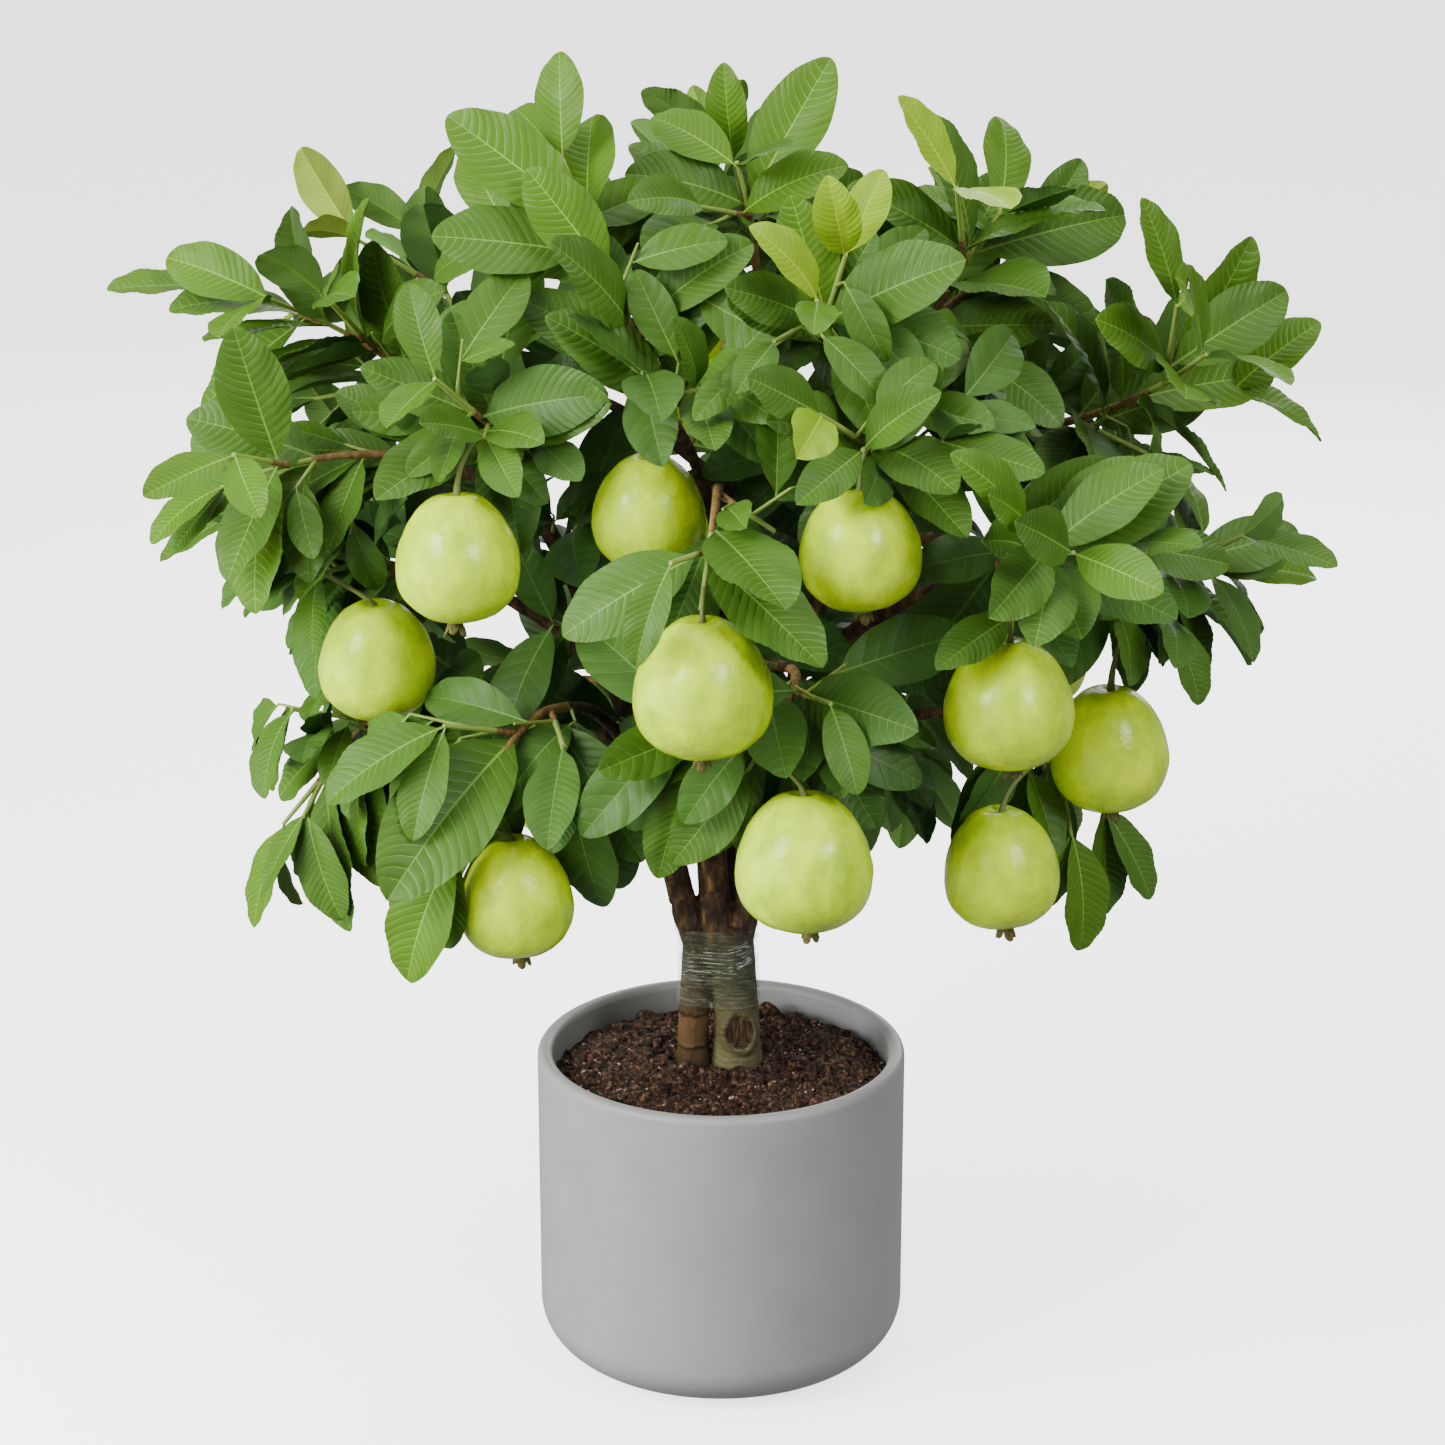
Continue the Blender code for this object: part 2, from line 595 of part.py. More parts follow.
def fruit_body(centre, width, height, growth=0.0):
    """The shell of a fruit, grown all round by growth."""
    rings = []
    for ring in range(1, FRUIT_RINGS):
        latitude = math.pi * (ring / FRUIT_RINGS - 0.5)
        radius = fruit_radius(width, height, latitude) + growth
        level = centre + Vector((0, 0, radius * math.sin(latitude)))
        turns = [math.tau * (i + 0.5 * (ring % 2)) / FRUIT_SIDES for i in range(FRUIT_SIDES)]
        out = radius * math.cos(latitude)
        rings.append([level + Vector((math.cos(a), math.sin(a), 0)) * out for a in turns])
    low = centre - Vector((0, 0, height * 0.49 + growth))
    high = centre + Vector((0, 0, height * 0.47 + growth))
    return spindle(low, rings, high)


class Fruit:
    """A round fruit on its stalk, with the dried calyx under it."""

    def __init__(self, centre, width, height, twigs):
        self.centre = Vector(centre)
        self.width = width
        self.height = height
        top = self.centre + Vector((0, 0, height * 0.44))
        hooks = [twig.at(share)[0] for twig in twigs for share in (0.15, 0.3, 0.45, 0.6, 0.75, 0.9)]
        hook = min(hooks, key=lambda point: (point - top).length + 4 * max(0.0, top.z + 0.008 - point.z))
        middle = Vector((top.x, top.y, max(hook.z - 0.006, top.z + 0.004)))
        self.stalk = bend(hook, middle, top, 2)

    def stalk_shell(self):
        """The shell of the stalk."""
        return rod(self.stalk, [STALK_RADIUS] * len(self.stalk), TWIG_SIDES)

    def shells(self):
        """The body, the stalk and the calyx."""
        foot = self.centre - Vector((0, 0, self.height * 0.45))
        end = foot - Vector((0, 0, CALYX_HEIGHT))
        calyx = rod([foot, end], [CALYX_RADIUS * 0.7, CALYX_RADIUS], CALYX_SIDES)
        return [fruit_body(self.centre, self.width, self.height), self.stalk_shell(), calyx]


class Twig:
    """One shoot: its centre line, its radii and the places where its leaf pairs stand."""

    def __init__(self, points, first, pairs, facing=None):
        self.points = points
        self.radii = tapered(first, TWIG_TIP, len(points))
        self.directions = directions_of(points)
        if facing:
            self.directions[0] = facing
        self.pairs = pairs

    def at(self, share):
        """The point and direction at a share of the shoot's length."""
        place = share * (len(self.points) - 1)
        low = min(int(place), len(self.points) - 2)
        part = place - low
        point = self.points[low].lerp(self.points[low + 1], part)
        return point, self.directions[low].lerp(self.directions[low + 1], part).normalized()

    def nodes(self):
        """Share, point and direction of each leaf pair, oldest first."""
        for i in range(self.pairs):
            share = FIRST_PAIR + (LAST_PAIR - FIRST_PAIR) * i / (self.pairs - 1)
            yield (share, *self.at(share))

    def shell(self, growth=0.0):
        """The shoot's rod, thicker all round by growth."""
        return rod(self.points, [radius + growth for radius in self.radii], TWIG_SIDES, self.directions)


class Mass:
    """One mass of foliage: a leading shoot, its side shoots, their leaves and its fruit."""

    def __init__(self, row):
        place, limb_name, tip, pairs, self.leaf_length, turn, sides, side_length, self.droop, seed = row
        self.name = "mass_" + place
        self.turn = math.radians(turn)
        self.draw = random.Random(seed)
        self.leaves = []
        limb = LIMBS[limb_name]
        start = limb.points[-1] + limb.directions[-1] * CLEARANCE
        end = Vector(tip)
        middle = start + limb.directions[-1] * (end - start).length * 0.45
        path = bend(start, middle, end, LEADER_STEPS)
        leader = Twig(path, limb.radii[-1], pairs, limb.directions[-1])
        self.twigs = [leader]
        for k in range(sides):
            share = FIRST_SIDE_TWIG + (LAST_SIDE_TWIG - FIRST_SIDE_TWIG) * k / max(sides - 1, 1)
            twig = self.side_twig(leader, share, self.turn + GOLDEN_ANGLE * k, side_length)
            if not BVHTree.FromPolygons(*twig.shell(TWIG_MARGIN)).overlap(FIRM):
                self.twigs.append(twig)
        self.fruits = [Fruit(*fruit[1:], self.twigs) for fruit in FRUITS if fruit[0] == place]

    def side_twig(self, leader, share, turn, length):
        """A side shoot that leaves the leader at a share of its length and reaches outwards."""
        point, direction = leader.at(share)
        side = Matrix.Rotation(turn, 3, direction) @ side_of(direction)
        heading = direction * math.cos(SIDE_ANGLE) + side * math.sin(SIDE_ANGLE)
        heading = (heading + outward_from(point) * 0.35).normalized()
        end = point + heading * length
        return Twig([point, end], SIDE_TWIG_BASE, SIDE_PAIRS)

    def balls(self):
        """Centres and radii that stand for this mass's shoots and fruit when space is shared out."""
        found = []
        for twig in self.twigs:
            found += [(twig.at(share)[0], 0.0) for share in (0.1, 0.4, 0.7, 1.0)]
            found.append((twig.points[-1] + twig.directions[-1] * SHOOT_REACH, 0.0))
        return found + [(fruit.centre, fruit.width / 2) for fruit in self.fruits]

    def grow_leaves(self, crown):
        """Sets the leaf pairs of every shoot, each pair turned a quarter from the last."""
        for twig in self.twigs:
            for i, (share, point, direction) in enumerate(twig.nodes()):
                turn = self.turn + math.pi / 2 * i + self.draw.uniform(-0.25, 0.25)
                for hand in (0, math.pi):
                    leaf = self.place_leaf(crown, share, point, direction, turn + hand)
                    if leaf:
                        self.leaves.append(leaf)
                        crown.keep(leaf)

    def place_leaf(self, crown, share, point, direction, turn):
        """The first try at a leaf that has room, each try turned further and shorter, or None."""
        draw = self.draw
        light = light_at(point)
        rest = LEAF_ANGLE_FOOT + (LEAF_ANGLE_TIP - LEAF_ANGLE_FOOT) * share
        size = self.leaf_length * draw.uniform(0.90, 1.06)
        if share > 0.9:
            size *= YOUNG_SIZE
        for attempt in range(LEAF_TRIES):
            stray = 0.07 * attempt
            angle = rest + draw.uniform(-0.15, 0.15) - draw.uniform(0, stray)
            spun = turn + draw.uniform(-1.5, 1.5) * stray
            out = Matrix.Rotation(spun, 3, direction) @ side_of(direction)
            out -= light * out.dot(light) * SPREAD_TO_LIGHT
            along = direction * math.cos(angle) + out.normalized() * math.sin(angle)
            along.z -= self.droop
            along.normalize()
            face = light + Vector([draw.uniform(-0.26, 0.26) for _ in range(3)])
            face -= along * face.dot(along)
            leaf = Leaf(point, along, face.normalized(), size * (1 - 0.02 * attempt), draw)
            if crown.has_room(leaf, self):
                return leaf
        return None

    def build(self):
        """Joins the shoots, leaves and fruit into one solid."""
        made = add_object(self.name, mesh_from(self.name, self.twigs[0].shell()), "foliage")
        shells = [twig.shell() for twig in self.twigs[1:]] + [leaf.shell() for leaf in self.leaves]
        for fruit in self.fruits:
            shells += fruit.shells()
        join(made, shells)


def outward_from(point):
    """The level direction out of the crown at a point, drawn to the front or, far back, to the rear."""
    depth = LIGHT_DEPTH if point.y > BACK_BEGINS else -LIGHT_DEPTH
    return Vector((point.x * LIGHT_SIDEWAYS, point.y + depth, 0)).normalized()


def light_at(point):
    """The direction that leaves at a point turn their upper side to."""
    return (Vector((0, 0, LIGHT_RISE)) + outward_from(point) * LIGHT_OUTWARD).normalized()


class Crown:
    """All masses, and the rule that shares the room of the crown among their leaves."""

    def __init__(self, rows):
        self.masses = [Mass(row) for row in rows]
        self.kept = []
        self.share_room()

    def share_room(self):
        """Works out what stands in the crown before its leaves do, and which mass each place falls to."""
        balls = [(*ball[0], ball[1], i) for i, mass in enumerate(self.masses) for ball in mass.balls()]
        self.balls = np.array(balls)
        solids = [twig.shell() for mass in self.masses for twig in mass.twigs]
        solids += [fruit.stalk_shell() for mass in self.masses for fruit in mass.fruits]
        self.shoots = BVHTree.FromPolygons(*together(solids))

    def keep(self, leaf):
        """Remembers a leaf, so that the next ones stay clear of it."""
        self.kept.append((leaf.point(0.5, 0), leaf.length, BVHTree.FromPolygons(*leaf.shell(BLADE_START))))

    def in_own_space(self, leaf, mass):
        """True if all of the leaf is within the crown and nearer to its own mass than to any other."""
        points = np.array(leaf.samples())
        if (points < CROWN_LOW).any() or (points > CROWN_HIGH).any():
            return False
        gaps = np.linalg.norm(points[:, None] - self.balls[None, :, :3], axis=2) - self.balls[:, 3]
        own = self.balls[:, 4] == self.masses.index(mass)
        return (gaps[:, own].min(axis=1) + SPACE_MARGIN < gaps[:, ~own].min(axis=1)).all()

    def has_room(self, leaf, mass):
        """True if the leaf stays in its mass's own space and clear of all that stands there."""
        if not self.in_own_space(leaf, mass):
            return False
        blade = BVHTree.FromPolygons(*leaf.shell(BLADE_START, SOLID_MARGIN))
        if blade.overlap(FIRM) or blade.overlap(self.shoots):
            return False
        middle = leaf.point(0.5, 0)
        for centre, length, kept in self.kept:
            if (centre - middle).length < (length + leaf.length) * 0.55 and blade.overlap(kept):
                return False
        return True


def plan_firm():
    """The limbs and the fruit, grown by their margin, as what shoots and leaves must not touch."""
    shells = [limb.shell(SOLID_MARGIN) for limb in LIMBS.values()]
    shells += [fruit_body(Vector(centre), width, height, SOLID_MARGIN) for _, centre, width, height in FRUITS]
    return BVHTree.FromPolygons(*together(shells))


LIMBS = plan_limbs()
FIRM = plan_firm()


def main():
    """Clears the scene and builds the plant."""
    for old in list(bpy.data.objects):
        bpy.data.objects.remove(old)
    build_pot()
    build_soil()
    build_trunk()
    build_film()
    build_limbs()
    crown = Crown(MASSES)
    for mass in crown.masses:
        mass.grow_leaves(crown)
        mass.build()


if __name__ == "__main__":
    main()
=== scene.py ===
"""Potted guava tree in full leaf, with its large green fruit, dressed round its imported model.

The pot, the soil, the stems, the limbs and each kind of thing that grows on them are made by one class
each. Leaves and shoots grow by the rule that made the model's masses, and then go on to finer shoots.
Lengths are in metres, +Z is up and -Y is the front.
"""

import logging
import math
import random
from collections.abc import Iterator, Sequence
from dataclasses import dataclass, field
from enum import Enum
from typing import Any

import bmesh
import bpy
import numpy as np
from mathutils import Matrix, Vector, noise
from mathutils.bvhtree import BVHTree


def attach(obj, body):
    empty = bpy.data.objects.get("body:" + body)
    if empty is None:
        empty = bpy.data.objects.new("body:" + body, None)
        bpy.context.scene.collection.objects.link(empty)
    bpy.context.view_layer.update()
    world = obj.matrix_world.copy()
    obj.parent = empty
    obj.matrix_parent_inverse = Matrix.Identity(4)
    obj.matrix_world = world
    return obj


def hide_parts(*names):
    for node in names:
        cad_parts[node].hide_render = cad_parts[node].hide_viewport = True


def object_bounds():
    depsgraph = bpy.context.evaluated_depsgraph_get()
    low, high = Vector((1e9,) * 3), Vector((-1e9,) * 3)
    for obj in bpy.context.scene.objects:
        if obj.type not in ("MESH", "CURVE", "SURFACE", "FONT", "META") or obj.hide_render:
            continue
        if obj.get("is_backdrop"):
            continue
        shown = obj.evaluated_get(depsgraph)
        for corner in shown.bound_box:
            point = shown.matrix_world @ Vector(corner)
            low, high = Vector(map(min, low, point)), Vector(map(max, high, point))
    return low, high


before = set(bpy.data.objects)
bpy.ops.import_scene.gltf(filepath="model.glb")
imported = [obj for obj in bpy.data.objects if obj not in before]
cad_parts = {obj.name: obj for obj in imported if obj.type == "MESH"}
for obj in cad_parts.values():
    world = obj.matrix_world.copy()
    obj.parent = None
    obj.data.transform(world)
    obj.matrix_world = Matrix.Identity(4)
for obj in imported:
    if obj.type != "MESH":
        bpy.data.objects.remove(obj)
MODEL_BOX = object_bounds()
LOG = logging.getLogger("guava_tree")

# Two and three lengths, corners and faces of a shell, and centre line and radii of a rod
Pair = tuple[float, float]
Triple = tuple[float, float, float]
Shell = tuple[list[Vector], list[tuple[int, ...]]]
Rod = tuple[list[Vector], list[float]]

CLEARANCE = 0.0004
BODY = "root"

# Height of the soil under the trunk, which the pot and the stems share
SOIL_HEIGHT = 0.2295
GROUND = SOIL_HEIGHT + CLEARANCE

# Limbs that leave the fork: name, foot, tip, bow of the middle, radius at foot and tip
FORK_LIMBS = (
    ("limb_left", (-0.0295, -0.004, 0.367), (-0.138, -0.060, 0.705), (0.010, 0.004, -0.006), 0.0098, 0.0042),
    ("limb_centre", (-0.0055, -0.002, 0.371), (0.022, 0.020, 0.780), (-0.012, -0.004, 0.000), 0.0118, 0.0044),
    ("limb_right", (0.0205, -0.002, 0.366), (0.123, -0.010, 0.750), (-0.006, 0.012, 0.014), 0.0104, 0.0042),
    ("limb_back", (0.0040, 0.022, 0.368), (0.004, 0.136, 0.745), (0.000, -0.016, 0.012), 0.0094, 0.0042),
)

# Boughs: place in the crown, limb that it leaves, share of that limb's length, tip, rise of the middle
BOUGHS = (
    ("crown_front_left", "limb_centre", 0.64, (-0.030, -0.098, 0.748), 0.010),
    ("crown_front", "limb_centre", 0.80, (0.056, -0.072, 0.790), 0.008),
    ("front_centre", "limb_centre", 0.52, (-0.002, -0.168, 0.722), 0.030),
    ("front_right", "limb_centre", 0.70, (0.084, -0.112, 0.736), 0.012),
    ("front_low", "limb_centre", 0.30, (0.048, -0.150, 0.590), 0.020),
    ("crown_right", "limb_right", 0.76, (0.232, 0.000, 0.726), 0.010),
    ("right_middle", "limb_right", 0.42, (0.256, -0.040, 0.632), 0.024),
    ("right_front", "limb_right", 0.60, (0.176, -0.115, 0.668), 0.016),
    ("right_low", "limb_right", 0.20, (0.196, -0.040, 0.520), 0.022),
    ("crown_left", "limb_left", 0.80, (-0.206, 0.024, 0.742), 0.010),
    ("left_upper", "limb_left", 0.90, (-0.196, -0.075, 0.716), 0.006),
    ("left_middle", "limb_left", 0.55, (-0.208, -0.014, 0.620), 0.014),
    ("left_low", "limb_left", 0.34, (-0.212, 0.022, 0.520), 0.024),
    ("low_front_left", "limb_left", 0.24, (-0.108, -0.118, 0.552), 0.022),
    ("back_upper_left", "limb_back", 0.74, (-0.128, 0.116, 0.732), 0.014),
    ("back_upper_right", "limb_back", 0.66, (0.132, 0.112, 0.728), 0.014),
    ("back_centre", "limb_back", 0.54, (0.010, 0.222, 0.610), 0.018),
    ("back_left", "limb_back", 0.40, (-0.176, 0.130, 0.580), 0.030),
    ("back_right", "limb_back", 0.34, (0.178, 0.126, 0.570), 0.034),
    ("back_low_left", "limb_back", 0.24, (-0.092, 0.166, 0.486), 0.026),
    ("back_low_right", "limb_back", 0.17, (0.098, 0.164, 0.470), 0.030),
)
BOUGH_BASE_SHARE = 0.80
BOUGH_BASE_MOST = 0.0062
BOUGH_TIP = 0.0036
LIMB_SIDES = 8
LIMB_STEPS = 8
BOUGH_SIDES = 5
BOUGH_STEPS = 4

# Limbs that end in a mass; every other mass ends the bough of its own place
LIMB_ENDS = {
    "crown_top": "limb_centre",
    "crown_upper_right": "limb_right",
    "front_left": "limb_left",
    "back_top": "limb_back",
}

# Masses: place in the crown, tip of the leading shoot, leaf pairs on it, leaf length, turn of the first
# pair in degrees, side shoots, their length, droop of the leaves, seed
MASSES = (
    ("crown_front_left", (-0.111, -0.073, 0.937), 6, 0.122, 170, 3, 0.075, -0.10, 527),
    ("crown_top", (0.011, -0.013, 0.919), 5, 0.116, 160, 3, 0.080, 0.30, 183),
    ("crown_upper_right", (0.196, -0.040, 0.890), 5, 0.122, 40, 3, 0.085, 0.00, 523),
    ("crown_right", (0.334, -0.095, 0.799), 4, 0.122, 30, 3, 0.080, -0.20, 164),
    ("right_middle", (0.349, -0.065, 0.635), 3, 0.110, 30, 3, 0.075, 0.10, 55),
    ("right_front", (0.231, -0.249, 0.699), 4, 0.116, 50, 3, 0.075, 0.05, 419),
    ("right_low", (0.251, -0.106, 0.451), 3, 0.132, 0, 3, 0.070, 1.10, 594),
    ("crown_left", (-0.322, -0.010, 0.822), 4, 0.130, 80, 3, 0.080, 0.10, 621),
    ("left_upper", (-0.341, -0.145, 0.717), 5, 0.106, 80, 2, 0.075, 0.45, 979),
    ("left_middle", (-0.316, -0.047, 0.646), 3, 0.112, 40, 3, 0.065, 0.35, 490),
    ("left_low", (-0.306, -0.047, 0.445), 3, 0.120, 140, 3, 0.065, 0.95, 879),
    ("low_front_left", (-0.184, -0.224, 0.481), 4, 0.149, 170, 3, 0.065, 0.85, 400),
    ("front_left", (-0.158, -0.183, 0.761), 4, 0.108, 30, 3, 0.070, 0.05, 204),
    ("front_centre", (-0.013, -0.278, 0.668), 3, 0.118, 160, 2, 0.065, 0.30, 332),
    ("front_low", (0.018, -0.236, 0.544), 3, 0.126, 80, 3, 0.070, 0.75, 362),
    ("front_right", (0.093, -0.228, 0.763), 3, 0.120, 50, 3, 0.065, 0.05, 739),
    ("crown_front", (0.063, -0.191, 0.855), 3, 0.110, 120, 3, 0.065, 0.00, 681),
    ("back_top", (-0.003, 0.160, 0.892), 4, 0.106, 80, 2, 0.085, 0.05, 267),
    ("back_upper_left", (-0.228, 0.142, 0.848), 4, 0.112, 40, 2, 0.085, -0.05, 573),
    ("back_upper_right", (0.237, 0.170, 0.833), 4, 0.118, 50, 2, 0.085, 0.40, 420),
    ("back_centre", (0.014, 0.318, 0.655), 4, 0.122, 40, 2, 0.075, 0.10, 937),
    ("back_left", (-0.300, 0.190, 0.620), 4, 0.116, 140, 2, 0.080, 0.15, 593),
    ("back_right", (0.283, 0.199, 0.602), 4, 0.116, 170, 2, 0.080, 0.15, 116),
    ("back_low_left", (-0.153, 0.258, 0.479), 3, 0.128, 20, 2, 0.075, 0.30, 937),
    ("back_low_right", (0.158, 0.267, 0.460), 3, 0.128, 60, 2, 0.075, 0.75, 738),
)

# Fruit: mass that it hangs in, centre, width, height
FRUITS = (
    ("front_left", (-0.176, -0.200, 0.683), 0.084, 0.090),
    ("left_middle", (-0.241, -0.120, 0.588), 0.082, 0.087),
    ("crown_front_left", (-0.049, -0.160, 0.704), 0.078, 0.082),
    ("front_centre", (-0.012, -0.285, 0.618), 0.092, 0.096),
    ("front_right", (0.092, -0.220, 0.695), 0.082, 0.086),
    ("front_low", (0.056, -0.262, 0.489), 0.093, 0.098),
    ("right_front", (0.195, -0.205, 0.582), 0.089, 0.092),
    ("right_middle", (0.276, -0.100, 0.516), 0.084, 0.094),
    ("right_low", (0.197, -0.150, 0.444), 0.082, 0.089),
    ("low_front_left", (-0.142, -0.205, 0.443), 0.080, 0.088),
    ("crown_right", (0.238, -0.045, 0.668), 0.066, 0.068),
    ("back_top", (-0.016, 0.206, 0.716), 0.080, 0.084),
    ("back_left", (-0.250, 0.190, 0.520), 0.086, 0.092),
    ("back_right", (0.246, 0.176, 0.506), 0.086, 0.092),
    ("back_centre", (0.012, 0.300, 0.560), 0.090, 0.094),
    ("back_low_left", (-0.130, 0.235, 0.375), 0.084, 0.090),
)
FRUIT_SIDES = 8
FRUIT_RINGS = 5
STALK_RADIUS = 0.0017
# How much fuller a fruit is under its middle, and its foot and top from the centre by its height
FRUIT_LOW_FULLNESS = 0.05
FRUIT_ENDS = (0.49, 0.47)
# Shares of a shoot at which a fruit may hang, share of its height at which its stalk ends, least drop of
# the stalk, and how far the stalk's middle is below the shoot and at least above the fruit
HOOK_SHARES = (0.15, 0.3, 0.45, 0.6, 0.75, 0.9)
STALK_END = 0.44
STALK_DROP = 0.008
STALK_MIDDLE = (0.006, 0.004)

# Shoots
TWIG_TIP = 0.0016
SIDE_TWIG_BASE = 0.0026
TWIG_SIDES = 3
LEADER_STEPS = 4
SIDE_PAIRS = 2
FIRST_SIDE_TWIG = 0.16
LAST_SIDE_TWIG = 0.72
SIDE_ANGLE = math.radians(52)
GOLDEN_ANGLE = math.radians(137.5)
FIRST_PAIR = 0.18
LAST_PAIR = 0.97
SHOOT_REACH = 0.05
# How far a leading shoot keeps its limb's direction, how far a side shoot is drawn outwards, and the
# shares of a shoot that stand for it when space is shared out
LEADER_KEEPS = 0.45
SIDE_OUTWARD = 0.35
SHOOT_SHARES = (0.1, 0.4, 0.7, 1.0)

# Leaves: angle to the shoot at its foot and at its tip, form, and how they turn to the light
LEAF_ANGLE_FOOT = math.radians(68)
LEAF_ANGLE_TIP = math.radians(34)
LEAF_ASPECT = 0.47
LEAF_THICKNESS = 0.014
PETIOLE_SHARE = 0.06
LEAF_FOOT = [(0, 1, 2), (0, 2, 3), (0, 3, 4), (0, 4, 1)]
LEAF_BLADE = [(1, 5, 2), (2, 5, 6), (2, 6, 3), (1, 4, 5), (4, 6, 5), (4, 3, 6)]
LEAF_WIDEST = 0.44
LEAF_BLUNT = 0.92
LEAF_FULLNESS = 1.08
# Half the width of a leaf's stalk and how much its blade adds, both by its width, and its outline's form
STALK_HALF = 0.03
BLADE_ADDS = 0.47
BLADE_FORM = (0.95, 0.65)
# Between what its width, arch and fold lie, and the most that it twists
WIDTH_CHANCES = (0.92, 1.08)
ARCH_CHANCES = (0.15, 0.90)
FOLD_CHANCES = (0.10, 0.45)
TWIST_CHANCE = 0.40
YOUNG_SIZE = 0.68
LIGHT_RISE = 0.62
LIGHT_OUTWARD = 0.75
LIGHT_SIDEWAYS = 0.55
LIGHT_DEPTH = 0.10
BACK_BEGINS = 0.12
SPREAD_TO_LIGHT = 0.45
YOUNG_BEGINS = 0.9
PAIR_CHANCE = 0.25
LENGTH_CHANCES = (0.90, 1.06)
ANGLE_CHANCE = 0.15
FACE_CHANCE = 0.26
# How much further each new try at a leaf strays, and how much shorter it is
TRY_STRAY = 0.07
TRY_SHRINK = 0.02

# Room that a leaf keeps
SPACE_MARGIN = 0.0010
SOLID_MARGIN = 0.0015
TWIG_MARGIN = 0.0030
LEAF_TRIES = 14
BLADE_START = 0.1
CROWN_LOW = (-0.470, -0.400, 0.300)
CROWN_HIGH = (0.475, 0.400, 1.020)
# Share of two leaves' lengths within which they may touch
NEAR_SHARE = 0.55

# Finer growth, which the masses of the model leave out
SPUR_SHARES = (0.30, 0.60)
SPUR_LENGTHS = (0.024, 0.044)
SPUR_REACH = 0.76
SPUR_STEP = 0.034
SPUR_LOWEST = 0.47
CROWN_MIDDLE = Vector((0.0, 0.0, 0.62))
CROWN_SIZE = (0.44, 0.37, 0.38)
SPUR_BASE = 0.0016
SPUR_TIP = 0.0009
SPUR_ANGLE = math.radians(58)
# Share of a bough where its spurs begin, and how far from its wood a spur has to be free
SPUR_BEGINS = 0.25
SPUR_FREE = (1.2, 0.004)
SPUR_TURN_CHANCE = 0.2
SPUR_PAIRS = (0.62, 1.0)
SPUR_TO_LIGHT = 0.4
SPUR_LEAF_SHARE = (0.62, 0.95)
SPUR_LEAF_ANGLES = (0.5, 1.1)
SPUR_DROOP = 0.7
SPUR_FACE_CHANCE = 0.3
SPUR_SHRINK = 0.07
SPUR_TRIES = 6
SPUR_LEAF_REACH = 0.80
SPUR_LEAF_REACH_BEHIND = 0.92
BEHIND_BEGINS = 0.05

# Where the fruit in front are seen from, and how much of a leaf may hang before one of them
FRONT_EYE = Vector((0.0, -2.45, 1.28))
FRONT_BEGINS = -0.09
FRUIT_SHOWN = 0.80
LEAF_BEFORE_FRUIT = 5


def bend(start: Vector, middle: Vector, end: Vector, steps: int) -> list[Vector]:
    """Points on a smooth curve from start to end that is drawn towards middle.

    Args:
        start: First point.
        middle: Control point.
        end: Last point.
        steps: Number of stretches.

    Returns:
        The points, one more than steps.
    """
    points = []
    for step in range(steps + 1):
        t = step / steps
        points.append(start * (1 - t) ** 2 + middle * (2 * t * (1 - t)) + end * t**2)
    return points


def directions_of(points: Sequence[Vector]) -> list[Vector]:
    """The unit direction of a path at each of its points."""
    last = len(points) - 1
    return [(points[min(i + 1, last)] - points[max(i - 1, 0)]).normalized() for i in range(last + 1)]


def side_of(direction: Vector) -> Vector:
    """A unit vector square to direction, level where it can be.

    Args:
        direction: A unit direction.

    Returns:
        The unit vector.
    """
    side = direction.cross(Vector((0, 0, 1)))
    if side.length < 0.05:
        side = direction.cross(Vector((0, 1, 0)))
    return side.normalized()


def tapered(first: float, last: float, count: int) -> list[float]:
    """Radii that fall evenly from first to last."""
    return [first + (last - first) * i / (count - 1) for i in range(count)]


def smooth_share(low: float, high: float, value: float) -> float:
    """A share from 0 to 1 that rises smoothly as value goes from low to high."""
    t = min(max((value - low) / (high - low), 0.0), 1.0)
    return t * t * (3 - 2 * t)


def turns_of(sides: int) -> list[float]:
    """The directions of the corners of a ring in radians."""
    return [math.tau * i / sides for i in range(sides)]


def level_ring(radius: float, height: float, turns: Sequence[float]) -> list[Vector]:
    """The corners of a level ring about Z."""
    return [Vector((radius * math.cos(a), radius * math.sin(a), height)) for a in turns]


def tube(rings: Sequence[Sequence[Vector]]) -> Shell:
    """The shell through rings of equal count, closed with a flat face at each end.

    Args:
        rings: Its rings, with as many corners each.

    Returns:
        Its corners and faces, its two ends first.
    """
    count = len(rings[0])
    corners = [point for ring in rings for point in ring]
    faces = [tuple(range(count))[::-1], tuple(range(len(corners) - count, len(corners)))]
    for low in range(0, len(corners) - count, count):
        for i in range(count):
            j = (i + 1) % count
            faces.append((low + i, low + j, low + count + j, low + count + i))
    return corners, faces


def rod(
    points: Sequence[Vector],
    radii: Sequence[float],
    sides: int,
    directions: Sequence[Vector] | None = None,
) -> Shell:
    """The shell of a tapering rod.

    Args:
        points: Its centre line.
        radii: Its radius at each point.
        sides: How many sides it has.
        directions: What its rings stand square to, if not to the path.

    Returns:
        Its corners and faces.
    """
    directions = directions or directions_of(points)
    side = side_of(directions[0])
    rings = []
    for point, direction, radius in zip(points, directions, radii):
        side = (side - direction * side.dot(direction)).normalized()
        up = side.cross(direction)
        rings.append([point + (side * math.cos(a) + up * math.sin(a)) * radius for a in turns_of(sides)])
    return tube(rings)


